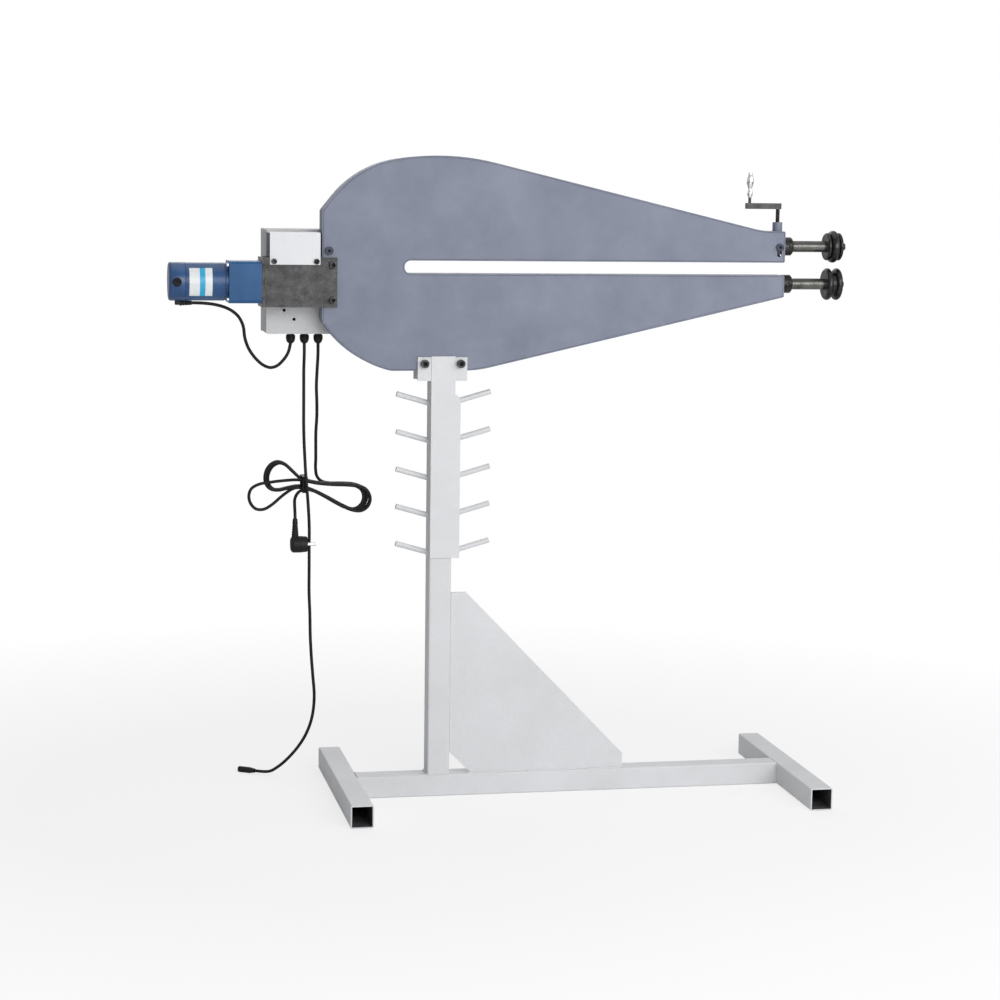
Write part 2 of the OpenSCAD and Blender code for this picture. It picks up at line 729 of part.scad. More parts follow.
module upper_shaft() color(oxide_black) {
    rod_x(carrier_rear + 3, collar_x, journal_d, 0, upper_z);
    rod_x(collar_x, die_x0, shaft_d, 0, upper_z);
    spigot_end(upper_z, 10);
}

module upper_collar() collar(upper_z, shaft_d);

module upper_die() color(oxide_black) turned_die(upper_z) {
    bead_r = (die_d - die_shoulder_d) / 2;
    translate([0, -die_w / 2]) square([die_shoulder_d / 2, die_w]);
    translate([die_shoulder_d / 2, 0]) circle(bead_r);
    for (s = [-1, 1]) translate([die_shoulder_d / 2, s * (die_w / 2 - 4)]) circle(4);
}

module upper_die_screw() die_screw(upper_z, 10, 15, 9);

module pivot_bolt() color(paint_grey_blue) translate([pivot_x, 0, pivot_z]) {
    cap_head(-half_w, pivot_d * 1.5, 6, pivot_d / 2);
    rod_y(-half_w, half_w + 6, pivot_d);
    translate([0, half_w, 0]) rotate([-90, 0, 0]) difference() {
        hex_nut(pivot_d * 1.5, 6);
        translate([0, 0, -1]) cylinder(h = 8, d = pivot_d + 2 * run_gap);
    }
}

module guide_bolt() color(oxide_black) translate([guide_x, 0, guide_z]) {
    y = -half_w - move_gap;
    cap_head(y, guide_head_d, 6, 6);
    rod_y(y, -carrier_w / 2, guide_d);
    rod_y(-carrier_w / 2, -carrier_w / 2 + guide_thread, 8);
}

spring_x = arm_end - spring_inset;
spring_d = 13;
spring_wire = 2;
spring_turns = 6;
anchor_d = 8;
arm_top = upper_nose_z + (arm_end - nose_flat - spring_x)
    * (saddle_z + crown_rise - upper_nose_z) / (arm_end - nose_flat - crown_x);
anchor_z = arm_top - rim_t - 9;
eye_z = carrier_top + 5;
eye_d = 6;

// Coils between a hook in the carrier's eye and a hook round the anchor pin
module return_spring() color(steel_bright) translate([spring_x, 0, 0]) {
    r = (spring_d - spring_wire) / 2;
    low_r = 4;
    low_z = eye_z + eye_d / 2 - spring_wire / 2 - move_gap + sqrt(low_r * low_r - 4);
    high_r = anchor_d / 2 + spring_wire / 2 + move_gap;
    z0 = low_z + low_r + spring_wire;
    z1 = anchor_z - high_r - spring_wire;
    steps = spring_turns * 10;
    swept(concat(
        [for (a = [120:40:440]) [0, low_r * cos(a), low_z + low_r * sin(a)]],
        [for (k = [3:steps]) [r * sin(36 * k), r * cos(36 * k), z0 + (z1 - z0) * k / steps]],
        [for (a = [250:-40:-30]) [high_r * cos(a), 0, anchor_z + high_r * sin(a)]]),
        spring_wire, 6);
}

module spring_anchor() color(steel_bright)
    rod_y(-inner_half, inner_half, anchor_d, spring_x, anchor_z);

// Pressure screw and crank

foot_h = 6;
screw_tip = carrier_top + 2 * move_gap + foot_h;
crank_z = upper_nose_z + boss_h + screw_free;

module screw_foot() color(steel_bright)
    translate([screw_x, 0, carrier_top + move_gap]) difference() {
        cylinder(h = foot_h, d = screw_d - 1);
        translate([0, 0, foot_h - 2]) cylinder(h = 3, d = 4 + 2 * run_gap);
    }

module adjusting_screw() color(oxide_black) {
    translate([screw_x, 0, screw_tip]) cylinder(h = crank_z - screw_tip, d = screw_d);
    translate([screw_x, 0, screw_tip - 2]) cylinder(h = 3, d = 4);
}

module crank_arm() color(steel_dark) translate([screw_x, 0, crank_z]) {
    cylinder(h = crank_h, d = crank_w);
    block([-crank_throw - crank_w / 2, -crank_w / 2, 0], [0, crank_w / 2, crank_h]);
    // Pin of the grip, with a shoulder below it
    translate([-crank_throw, 0, crank_h - 1]) {
        cylinder(h = grip_pin_free - move_gap + 1, d = grip_pin_d);
        cylinder(h = grip_pin_free + grip_l - 5, d = grip_pin_d - 1.5);
    }
}

// The grip is turned: a lower lobe, a waist and a longer upper lobe
module crank_grip() color(steel_bright)
    translate([screw_x - crank_throw, 0, crank_z + crank_h + grip_pin_free]) difference() {
        rotate_extrude() {
            translate([0, 0]) square([grip_d * 0.28, grip_l]);
            intersection() {
                translate([grip_d * 0.39 - 12, grip_l * 0.16]) circle(12);
                square([grip_d, grip_l * 0.36]);
            }
            intersection() {
                translate([grip_d / 2 - 30, grip_l * 0.65]) circle(30);
                translate([0, grip_l * 0.36]) square([grip_d, grip_l * 0.64]);
            }
        }
        translate([0, 0, -1]) cylinder(h = grip_l - 4, d = grip_pin_d - 1.5 + 2 * run_gap);
    }

// Drive

module bracket_plates() color(steel_dark) difference() {
    for (s = [-1, 1])
        block([drive_x, min(s * half_w, s * bracket_y), lower_z - bracket_h / 2],
            [bracket_x1, max(s * half_w, s * bracket_y), lower_z + bracket_h / 2]);
    bracket_holes(-bracket_y - 1, bracket_y + 1, 10 + 2 * bolt_gap);
    for (s = [-1, 1]) translate([bracket_screw_x, half_w + 2, lower_z + s * bracket_screw_rise])
        rotate([-90, 0, 0]) cylinder(h = bracket_t - 2 + 0.01, d1 = 10, d2 = 21);
    for (x = guard_screw_xs) rod_y(-bracket_y - 1, -half_w - 2, 6, x, guard_screw_z);
    for (x = box_screw_xs, s = [-1, 1])
        rod_y(half_w + 2, bracket_y + 1, 6, x, lower_z + s * bracket_screw_rise);
}

module motor_plate() color(oxide_black) difference() {
    block([motor_plate_x, -gearbox_w / 2, lower_z - bracket_h / 2],
        [drive_x, gearbox_w / 2, lower_z + bracket_h / 2]);
    rod_x(motor_plate_x - 1, drive_x + 1, output_d + 2 * wide_gap, 0, lower_z);
    gearbox_corners() rod_x(motor_plate_x - 1, drive_x + 1, 6 + 2 * run_gap);
}

module gearbox_corners()
    for (y = [-1, 1], z = [-1, 1])
        translate([0, y * gearbox_screw_at, lower_z + z * gearbox_screw_at]) children();

guard_x = box_x + 1;
guard_z = lower_z + 38;
guard_screw_xs = [guard_x + 9, guard_x + guard_l - 8];
guard_screw_z = guard_z + 7;
box_screw_xs = [box_x + 20, box_x + 120];

module drive_screws() color(oxide_black) {
    // Cap screws in front, flush ones behind, where the control box lies
    for (s = [-1, 1]) translate([bracket_screw_x, 0, lower_z + s * bracket_screw_rise]) {
        cap_head(-bracket_y, 16, 10, 8);
        rod_y(-bracket_y, -inner_half + 16, 10);
        rod_y(inner_half - 16, half_w + 2, 10);
        translate([0, half_w + 2, 0]) rotate([-90, 0, 0])
            cylinder(h = bracket_t - 2.5, d1 = 10, d2 = 19.5);
    }
    for (x = guard_screw_xs) translate([x, 0, guard_screw_z]) {
        cap_head(-bracket_y - guard_t, 12, 4, 4);
        rod_y(-bracket_y - guard_t, -half_w - 2.5, 6 - 2 * run_gap);
    }
    for (x = box_screw_xs, s = [-1, 1])
        translate([x, 0, lower_z + s * bracket_screw_rise]) {
            translate([0, box_y + box_t, 0]) rotate([180, 0, 0]) cap_head(0, 12, 4, 4);
            rod_y(half_w + 2.5, box_y + box_t, 6 - 2 * run_gap);
        }
    gearbox_corners() {
        rod_x(gearbox_x - 5, gearbox_x, 9);
        rod_x(gearbox_x, drive_x, 6);
    }
}

module coupling_guard() color(paint_white) difference() {
    union() {
        block([guard_x, -bracket_y - guard_t, guard_z],
            [guard_x + guard_l, -bracket_y, guard_z + guard_h]);
        block([guard_x, -bracket_y - guard_t, guard_z + guard_h - guard_t],
            [guard_x + guard_l, bracket_y - move_gap, guard_z + guard_h]);
    }
    for (x = guard_screw_xs) rod_y(-bracket_y - 10, 0, 6 + 2 * run_gap, x, guard_screw_z);
}

module gearbox() color(motor_blue) difference() {
    translate([gearbox_x, 0, lower_z]) rotate([0, 90, 0]) linear_extrude(gearbox_l)
        tube_section(gearbox_w, 8);
    rod_x(gearbox_x + gearbox_wall, motor_plate_x - 8, 78, 0, lower_z);
    rod_x(gearbox_x - 1, motor_plate_x - 8, 12 + 2 * run_gap, 0, lower_z);
    rod_x(gearbox_x + 10, motor_plate_x + 1, output_d + 2 * run_gap, 0, lower_z);
    rod_x(gearbox_x + gearbox_wall - 5, motor_plate_x - 3, 8 + 2 * run_gap, 0, lower_z + gear_distance);
    gearbox_corners() rod_x(gearbox_x - 1, motor_plate_x + 1, 6 + 2 * run_gap);
}

// Straight teeth with their tips just short of the pitch circle
module gear_section(teeth) {
    pitch_r = gear_module * teeth / 2;
    tip = pitch_r - 0.15;
    root = pitch_r - 1.2 * gear_module;
    step = 360 / teeth;
    polygon([for (i = [0:teeth - 1], q = [[root, -0.3], [tip, -0.16], [tip, 0.16], [root, 0.3]])
        q[0] * [cos((i + q[1]) * step), sin((i + q[1]) * step)]]);
}

module gear_x(x, teeth, z) translate([x, 0, z]) rotate([0, 90, 0]) linear_extrude(gear_w)
    gear_section(teeth);

first_gear_x = gearbox_x + gearbox_wall + 6;
second_gear_x = motor_plate_x - 8 - 6 - gear_w;

module output_shaft() color(steel_bright) {
    rod_x(second_gear_x - 2, hub_x + hub_l - 2, output_d, 0, lower_z);
    gear_x(second_gear_x, gear_teeth, lower_z);
}

module layshaft() color(steel_bright) {
    rod_x(gearbox_x + gearbox_wall - 4.5, motor_plate_x - 3.5, 8, 0, lower_z + gear_distance);
    gear_x(first_gear_x, gear_teeth, lower_z + gear_distance);
    gear_x(second_gear_x, pinion_teeth, lower_z + gear_distance);
}

module coupling_hubs() color(steel_bright) {
    difference() {
        rod_x(hub_x, hub_x + hub_l, coupling_d, 0, lower_z);
        rod_x(hub_x - 1, hub_x + hub_l + 1, output_d + 2 * run_gap, 0, lower_z);
    }
    difference() {
        rod_x(shaft_hub_x, shaft_hub_x + hub_l, coupling_d, 0, lower_z);
        rod_x(shaft_hub_x - 1, shaft_hub_x + hub_l + 1, shaft_d + 2 * run_gap, 0, lower_z);
    }
}

module coupling_spider() color(star_red) difference() {
    rod_x(star_x, star_x + star_t, coupling_d - 2, 0, lower_z);
    rod_x(star_x - 1, star_x + star_t + 1, output_d, 0, lower_z);
}

rotor_d = 56;

module motor_body() color(motor_blue) difference() {
    rod_x(motor_x, gearbox_x, motor_d, 0, lower_z);
    rod_x(motor_x - 1, gearbox_x - 8, rotor_d + 2, 0, lower_z);
    rod_x(motor_x, gearbox_x + 1, 12 + 2 * run_gap, 0, lower_z);
}

outlet_x = end_cover_x + 12;

module motor_end_cover() color(motor_blue) {
    difference() {
        union() {
            rod_x(end_cover_x, motor_x, motor_d + 1, 0, lower_z);
            // Outlet of the motor lead, under the cover
            block([outlet_x, -8, lower_z - motor_d / 2 - 10],
                [outlet_x + 14, 8, lower_z - motor_d / 2 + 6]);
        }
        rod_x(end_cover_x + 8, motor_x + 1, rotor_d + 2, 0, lower_z);
        rod_x(end_cover_x + 4, end_cover_x + 9, 12 + 2 * run_gap, 0, lower_z);
    }
    // Bosses of the brush holders, front and rear
    for (s = [-1, 1]) translate([end_cover_x + 19, s * (motor_d / 2 - 3), lower_z])
        rotate([-s * 90, 0, 0]) cylinder(h = 4, d = 19);
}

module motor_rotor() color(steel_dark) {
    rod_x(motor_x - 8, gearbox_x - 14, rotor_d, 0, lower_z);
    rod_x(end_cover_x + 4.5, first_gear_x + gear_w, 12, 0, lower_z);
    gear_x(first_gear_x, pinion_teeth, lower_z);
}

// Control box

module enclosure_shell() color(paint_box) {
    difference() {
        block([box_x, box_y, box_z], [box_x + box_w, box_y + box_d, box_z + box_h]);
        block([box_x + box_t, box_y + box_t, box_z + box_t],
            [box_x + box_w - box_t, box_y + box_d - box_t, box_z + box_h - box_t]);
        block([box_x + box_lip, box_y + box_t, box_z + box_lip],
            [box_x + box_w - box_lip, box_y + box_d + 1, box_z + box_h - box_lip]);
        for (i = [0:2]) translate([gland_x + i * gland_pitch, gland_y, box_z - 1])
            cylinder(h = box_t + 2, d = 16 + 2 * run_gap);
        for (x = box_screw_xs, s = [-1, 1])
            rod_y(box_y - 1, box_y + box_t + 1, 6 + 2 * run_gap, x, lower_z + s * bracket_screw_rise);
        // Spare fixing holes that show below the bracket
        rod_y(box_y - 1, box_y + box_t + 1, 7, box_x + 39, lower_z - 63);
        rod_y(box_y - 1, box_y + box_t + 1, 7, box_x + 61, lower_z - 83);
    }
    for (z = [box_z + 40, box_z + box_h - 70]) difference() {
        union() {
            translate([hinge_x, hinge_y, z]) cylinder(h = 30, d = 8);
            block([box_x + box_w - 1, box_y + box_d - 3, z], [hinge_x, box_y + box_d - 1, z + 30]);
        }
        translate([hinge_x, hinge_y, z - 1]) cylinder(h = 32, d = 4 + 2 * run_gap);
    }
}

module enclosure_door() color(paint_box) {
    difference() {
        union() {
            block([box_x, door_y, box_z], [box_x + box_w, door_y + box_t, box_z + box_h]);
            for (z = [box_z + 71, box_z + box_h - 101]) {
                translate([hinge_x, hinge_y, z]) cylinder(h = 30, d = 8);
                block([box_x + box_w - 1, door_y, z], [hinge_x, door_y + box_t, z + 30]);
            }
        }
        for (z = [box_z + 70, box_z + box_h - 102])
            translate([hinge_x, hinge_y, z]) cylinder(h = 32, d = 4);
        rod_y(door_y - 1, door_y + box_t + 1, 16 + 2 * run_gap, lock_x, box_mid_z);
        rod_y(door_y - 1, door_y + box_t + 1, 8 + 2 * run_gap, box_mid_x, box_mid_z + 50);
        rod_y(door_y - 1, door_y + box_t + 1, 8 + 2 * run_gap, box_mid_x, box_mid_z - 20);
    }
    translate([hinge_x, hinge_y, box_z + 38]) cylinder(h = box_h - 76, d = 4);
}

module door_lock() color(steel_bright) translate([lock_x, 0, box_mid_z]) {
    rod_y(door_y - 6, door_y + box_t + move_gap, 16);
    difference() {
        rod_y(door_y + box_t + move_gap, door_y + box_t + 5, 20);
        translate([0, door_y + box_t + 5, 0]) cube([3, 4, 12], center = true);
    }
    // Cam, turned away from the rim of the box
    block([-7, door_y - 6, -7], [7, door_y - 4, 18]);
}

module speed_dial() color(rubber_black) translate([box_mid_x, 0, box_mid_z + 50]) {
    y = door_y + box_t + move_gap;
    rod_y(door_y - 14, y, 8);
    translate([0, y, 0]) rotate([-90, 0, 0]) {
        cylinder(h = 3, d = 30);
        cylinder(h = 16, d1 = 25, d2 = 22);
    }
    color("white") block([-0.6, y + 15.5, 4], [0.6, y + 16.3, 11]);
}

module direction_switch() color(rubber_black) translate([box_mid_x, 0, box_mid_z - 20]) {
    y = door_y + box_t + move_gap;
    rod_y(door_y - 14, y, 8);
    rod_y(y, y + 6, 27);
    block([-4, y + 5, -13], [4, y + 14, 13]);
}

module motor_drive() color(rubber_black) {
    y = box_y + box_t;
    block([box_mid_x - 45, y, box_z + 60], [box_mid_x + 15, y + 50, box_z + 150]);
    // Cooling fins
    for (i = [0:5]) block([box_mid_x - 45 + i * 11, y + 49, box_z + 60],
        [box_mid_x - 40 + i * 11, y + 62, box_z + 150]);
}

module cable_glands() color(rubber_black)
    for (i = [0:2]) translate([gland_x + i * gland_pitch, gland_y, box_z - gland_drop]) rotate_extrude()
        polygon([[0, 0], [5, 0], [8, 3], [gland_d / 2, 9], [gland_d / 2, 18], [8, 18],
            [8, gland_drop + box_t], [11, gland_drop + box_t], [11, gland_drop + box_t + 5],
            [8, gland_drop + box_t + 5], [8, gland_drop + box_t + 8], [0, gland_drop + box_t + 8]]);

// Leads

module motor_lead() color(rubber_black) swept(motor_route, lead_d, 8, [1, 0, 0], [0, 0, 1]);

module pedal_lead() color(rubber_black)
    swept(pedal_route, lead_d, 8, [0, 0, -1], unit([-14, 9, 0]));

module mains_lead() color(rubber_black)
    swept(concat(mains_route, [hank_points[0]]), lead_d, 8, [0, 0, -1], hank_way(0));

module pedal_connector() color(rubber_black) {
    end = pedal_route[len(pedal_route) - 1];
    translate(end) rotate([0, 0, atan2(9, -14)]) rotate([0, 90, 0]) {
        cylinder(h = 12, d1 = 9, d2 = 14);
        translate([0, 0, 12]) cylinder(h = 30, d = 14);
    }
}

// One point of the hank after so many turns
function hank_point(turns) =
    let (a = hank_start - 360 * turns, u = cos(a), i = floor(turns + (90 - hank_start) / 360))
    let (reach = u > 0 ? hank_right[i] : hank_left[i])
    let (swell = (u > 0 ? hank_right_swell[i] : hank_left_swell[i]) - hank_waist)
    let (x = reach * u, form = reach < hank_short ? 2.5 - 1.5 * abs(u) : 1)
    let (z = sin(a) * (hank_waist + swell * form * u * u))
    let (droop = u < 0 && i == len(hank_left) - 1 ? hank_droop * (1 - pow(1 + u, 3)) : 0)
    let (tilt = hank_tilt * (1 - droop))
    [hank_x + x * cos(tilt) + z * sin(tilt), hank_y - hank_pitch * turns,
        hank_z + z * cos(tilt) - x * sin(tilt)];

hank_points = [for (k = [0:hank_steps]) hank_point(hank_turns * k / hank_steps)];
function hank_way(k) = unit(hank_points[k + 1] - hank_points[k]);
hank_route = concat(hank_points, tail_route);

module mains_hank() color(rubber_black) swept(hank_route, lead_d, 6, hank_way(0), [0, 0, -1]);

// Least gap of the hank to itself, between points that are not neighbours
hank_gap = min([for (i = [0:len(hank_route) - 1])
    min([for (j = [0:len(hank_route) - 1]) abs(i - j) > 6 ? norm(hank_route[i] - hank_route[j]) : 1000])]);
echo(str("hank least gap ", hank_gap - lead_d));

module hank_tie() color(rubber_black) {
    y0 = hank_y - hank_pitch * hank_turns - lead_d / 2 - 3.2;
    y1 = hank_y + lead_d / 2 + 0.5;
    half = hank_waist + lead_d / 2 + 4.8;
    translate([hank_x - tie_w / 2, 0, hank_z]) rotate([90, 0, 90]) linear_extrude(tie_w)
        difference() {
            translate([y0 - 2, -half - 2]) square([y1 - y0 + 4, 2 * half + 4]);
            translate([y0, -half]) square([y1 - y0, 2 * half]);
        }
}

module mains_plug() {
    end = hank_route[len(hank_route) - 1];
    translate(end) {
        color(rubber_black) {
            translate([0, 0, -60]) cylinder(h = 60, d1 = 18, d2 = 12);
            rod_x(-10, 27, 37, 0, -58);
        }
        color(steel_bright) for (s = [-1, 1]) rod_x(27, 46, 4.8, s * 9.5, -58);
    }
}

left_foot();
right_foot();
cross_beam();
column();
gusset_plate();
rack_plate();
die_pegs();
saddle_plates();
saddle_bolts();
front_side_plate();
rear_side_plate();
rim_strip();
screw_boss();
rear_bearing_block();
nose_bearing_block();
lower_bushes();
lower_shaft();
lower_collar();
lower_die();
lower_die_screw();
upper_carrier();
upper_bushes();
upper_shaft();
upper_collar();
upper_die();
upper_die_screw();
pivot_bolt();
guide_bolt();
return_spring();
spring_anchor();
screw_foot();
adjusting_screw();
crank_arm();
crank_grip();
bracket_plates();
motor_plate();
drive_screws();
coupling_guard();
gearbox();
output_shaft();
layshaft();
coupling_hubs();
coupling_spider();
motor_body();
motor_end_cover();
motor_rotor();
enclosure_shell();
enclosure_door();
door_lock();
speed_dial();
direction_switch();
motor_drive();
cable_glands();
motor_lead();
pedal_lead();
pedal_connector();
mains_lead();
mains_hank();
hank_tie();
mains_plug();
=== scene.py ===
# Studio picture of a deep throat bead roller on its floor stand.
# Everything stands in the machine's own frame: X along the throat, Z up. Lengths are in metres,
# but in millimetres where they are given to turned(), block(), bead(), soften() and rounded(), or
# as the size of a finish's pattern.
import json
import math
import bmesh
import bpy
from mathutils import Matrix, Vector


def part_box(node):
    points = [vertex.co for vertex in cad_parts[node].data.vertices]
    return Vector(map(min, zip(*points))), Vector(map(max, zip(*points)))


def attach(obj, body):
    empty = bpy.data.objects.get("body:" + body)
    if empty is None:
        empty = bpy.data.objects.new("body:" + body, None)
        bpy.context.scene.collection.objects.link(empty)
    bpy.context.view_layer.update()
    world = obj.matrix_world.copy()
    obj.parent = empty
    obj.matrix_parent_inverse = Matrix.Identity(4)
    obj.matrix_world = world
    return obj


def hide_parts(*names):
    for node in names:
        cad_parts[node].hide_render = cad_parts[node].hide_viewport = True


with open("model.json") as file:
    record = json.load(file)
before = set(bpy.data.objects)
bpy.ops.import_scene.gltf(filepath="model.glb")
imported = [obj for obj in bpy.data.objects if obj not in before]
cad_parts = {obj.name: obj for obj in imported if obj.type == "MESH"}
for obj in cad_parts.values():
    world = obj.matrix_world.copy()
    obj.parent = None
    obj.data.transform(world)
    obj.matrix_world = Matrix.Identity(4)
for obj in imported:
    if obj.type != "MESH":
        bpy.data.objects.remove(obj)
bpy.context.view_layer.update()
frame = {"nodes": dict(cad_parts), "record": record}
cad = frame["nodes"]
record = frame["record"]
body_of = {node: body for body, nodes in record["behaviour"]["bodies"].items() for node in nodes}
slot_of = {part["node"]: part["material_slot"] for part in record["subparts"]}
scene = bpy.context.scene
scene.view_settings.view_transform = "Standard"


# ---------------------------------------------------------------- camera

# The photograph's view, as it was fitted to the stand: angles in degrees, lens and frame in mm
AZIMUTH, ELEVATION, ROLL = -11.4, 7.45, 0.73
TARGET, DISTANCE = Vector((0.13793, 0.0, 0.66433)), 5.48968
LENS, FRAME_WIDTH = 88.73, 36.0


def placed(name, data):
    """An object with that data, put in the scene."""
    piece = bpy.data.objects.new(name, data)
    scene.collection.objects.link(piece)
    return piece


def place_camera():
    """Looks at the machine from the photograph's place: a little left, a little above, and far."""
    azimuth, elevation, roll = (math.radians(a) for a in (AZIMUTH, ELEVATION, ROLL))
    level = math.cos(elevation)
    back = Vector((math.sin(azimuth) * level, -math.cos(azimuth) * level, math.sin(elevation)))
    right = (-back).cross(Vector((0, 0, 1))).normalized()
    up = right.cross(-back)
    right, up = (right * math.cos(roll) + up * math.sin(roll),
                 up * math.cos(roll) - right * math.sin(roll))
    lens = bpy.data.cameras.new("photo_camera")
    lens.lens = LENS
    lens.sensor_width = FRAME_WIDTH
    lens.clip_end = 60.0
    camera = placed("photo_camera", lens)
    turn = Matrix((right, up, back)).transposed().to_4x4()
    camera.matrix_world = Matrix.Translation(TARGET + back * DISTANCE) @ turn
    scene.camera = camera


place_camera()


# ---------------------------------------------------------------- nodes of a finish

# Nearly all values of a noise lie in this range
NOISE = {"From Min": 0.3, "From Max": 0.7}


def linear(code):
    """An sRGB hex value as the linear colour that a socket takes."""
    parts = [int(code[i:i + 2], 16) / 255 for i in (1, 3, 5)]
    return [c / 12.92 if c <= 0.04045 else ((c + 0.055) / 1.055) ** 2.4 for c in parts] + [1.0]


def add(tree, kind, inputs=None, **settings):
    """Adds a node with its settings, and with a value or a link for each input that is named."""
    node = tree.nodes.new(kind)
    for name, value in settings.items():
        setattr(node, name, value)
    for name, value in (inputs or {}).items():
        if isinstance(value, bpy.types.NodeSocket):
            tree.links.new(value, node.inputs[name])
        else:
            node.inputs[name].default_value = value
    return node


def noise(tree, place, size, detail, roughness=0.5):
    """A noise whose features are so many millimetres in size."""
    return add(tree, "ShaderNodeTexNoise", {
        "Vector": place, "Scale": 1000 / size, "Detail": detail, "Roughness": roughness}).outputs[0]


def blended(tree, share, first, second, **settings):
    """A colour between two."""
    return add(tree, "ShaderNodeMix", {0: share, 6: first, 7: second},
               data_type="RGBA", **settings).outputs[2]


def reckoned(tree, operation, *values):
    """What an operation makes of its values."""
    return add(tree, "ShaderNodeMath", dict(enumerate(values)), operation=operation).outputs[0]


def new_finish(name, constants):
    """A material with its shader's constants, and the place on the piece that its patterns read."""
    finish = bpy.data.materials.new(name)
    finish.use_nodes = True
    tree = finish.node_tree
    for socket, value in constants.items():
        tree.nodes["Principled BSDF"].inputs[socket].default_value = value
    return finish, tree, add(tree, "ShaderNodeTexCoord").outputs["Object"]


def surfaced(finish, tones, spread, gloss, height, depth, strength=0.5, speck=None):
    """Ends a finish: the spread blends its two tones and the speck shades them. Gloss is a range
    and what it follows, and the bumps follow the height."""
    tree = finish.node_tree
    tone = blended(tree, spread, linear(tones[0]), linear(tones[1]))
    if speck is not None:
        tone = blended(tree, 1.0, tone, speck, blend_type="MULTIPLY")
    rough = add(tree, "ShaderNodeMapRange", gloss)
    bumps = add(tree, "ShaderNodeBump", {"Height": height, "Distance": depth, "Strength": strength})
    sockets_in = tree.nodes["Principled BSDF"].inputs
    tree.links.new(tone, sockets_in["Base Color"])
    tree.links.new(rough.outputs[0], sockets_in["Roughness"])
    tree.links.new(bumps.outputs["Normal"], sockets_in["Normal"])
    return finish


def powder_coat(name, tones, cloud, skin, roughness, depth=0.00012, specular=0.5):
    """Powder coat, sprayed dry and baked. It gives soft clouds of tone, and a skin like an orange's
    that breaks up the highlights. The real skin is about 1 mm, and it is drawn coarser to show."""
    constants = {"Metallic": 0.0, "IOR": 1.5, "Specular IOR Level": specular}
    finish, tree, place = new_finish(name, constants)
    clouds = noise(tree, place, cloud, 5.0, 0.6)
    spread = add(tree, "ShaderNodeMapRange", {"Value": clouds, "From Min": 0.32, "From Max": 0.68})
    cells = noise(tree, place, skin, 2.0)
    speck = add(tree, "ShaderNodeMapRange",
                {"Value": cells, **NOISE, "To Min": 0.965, "To Max": 1.0})
    gloss = {"Value": cells, **NOISE, "To Min": roughness - 0.06, "To Max": roughness + 0.06}
    return surfaced(finish, tones, spread.outputs[0], gloss, cells, depth, speck=speck.outputs[0])


def steel(name, tones, patch, stretch, roughness, metallic=1.0, depth=0.00002, weight=0.4):
    """Bare or blackened steel. Its tone and gloss wander over patches, and fine marks run the way
    that it was rolled, turned or drawn: the stretch is short across them and long along them."""
    finish, tree, place = new_finish(name, {"Metallic": metallic})
    patches = noise(tree, place, patch, 6.0, 0.65)
    along = add(tree, "ShaderNodeMapping", {"Vector": place, "Scale": stretch})
    marks = noise(tree, along.outputs[0], 1, 2.0)
    both = reckoned(tree, "MULTIPLY_ADD", marks, weight, patches)
    reach = {limit: value + weight / 2 for limit, value in NOISE.items()}
    spread = add(tree, "ShaderNodeMapRange", {"Value": both, **reach}).outputs[0]
    gloss = {"Value": spread, "To Min": roughness + 0.08, "To Max": roughness - 0.06}
    return surfaced(finish, tones, spread, gloss, marks, depth)


def moulded(name, tones, grain, roughness, depth=0.00008):
    """Moulded or extruded plastic: one colour, with a fine spark-eroded grain that dulls it."""
    constants = {"Metallic": 0.0, "IOR": 1.5, "Specular IOR Level": 0.28}
    finish, tree, place = new_finish(name, constants)
    cells = noise(tree, place, grain, 3.0)
    spread = add(tree, "ShaderNodeMapRange", {"Value": cells, **NOISE})
    gloss = {"Value": cells, "To Min": roughness - 0.07, "To Max": roughness + 0.07}
    return surfaced(finish, tones, spread.outputs[0], gloss, cells, depth, strength=0.4)


def ringed_enamel(name, tones):
    """Blue enamel over a turned housing: fine rings about the axis show through the gloss."""
    finish, tree, place = new_finish(name, {"Metallic": 0.0, "IOR": 1.5})
    along = add(tree, "ShaderNodeMapping", {"Vector": place, "Scale": (1.0, 0.0, 0.0)})
    rings = noise(tree, along.outputs[0], 2.4, 4.0, 0.7)
    both = reckoned(tree, "ADD", rings, noise(tree, place, 40, 3.0))
    spread = add(tree, "ShaderNodeMapRange", {"Value": both, "From Min": 0.75, "From Max": 1.25})
    gloss = {"Value": rings, "To Min": 0.2, "To Max": 0.42}
    return surfaced(finish, tones, spread.outputs[0], gloss, rings, 0.00015)


def printed_vinyl(name, band_start, band_end):
    """Vinyl label with a gloss film: white, with one cyan band across it from one X to another."""
    constants = {"Metallic": 0.0, "IOR": 1.5, "Roughness": 0.3}
    finish, tree, place = new_finish(name, constants)
    x = add(tree, "ShaderNodeSeparateXYZ", {"Vector": place}).outputs["X"]
    after = reckoned(tree, "GREATER_THAN", x, band_start)
    band = reckoned(tree, "MULTIPLY", after, reckoned(tree, "LESS_THAN", x, band_end))
    film = noise(tree, place, 12, 2.0)
    paper, ink = (blended(tree, film, linear(first), linear(second))
                  for first, second in (("#dfe3e4", "#eef1f2"), ("#1d9fd0", "#35b4dc")))
    label = blended(tree, band, paper, ink)
    tree.links.new(label, tree.nodes["Principled BSDF"].inputs["Base Color"])
    return finish


# ---------------------------------------------------------------- the finishes

# The way that fine marks run: rings about the shafts, or the same all over
ABOUT_X, EVEN = (1.7, 0.03, 0.03), (0.3, 0.3, 0.3)

# Light grey powder coat of the stand: almost white, satin
light_grey_coat = powder_coat("light_grey_powder_coat", ("#d3d4d6", "#dcdde0"), 160, 5, 0.48)
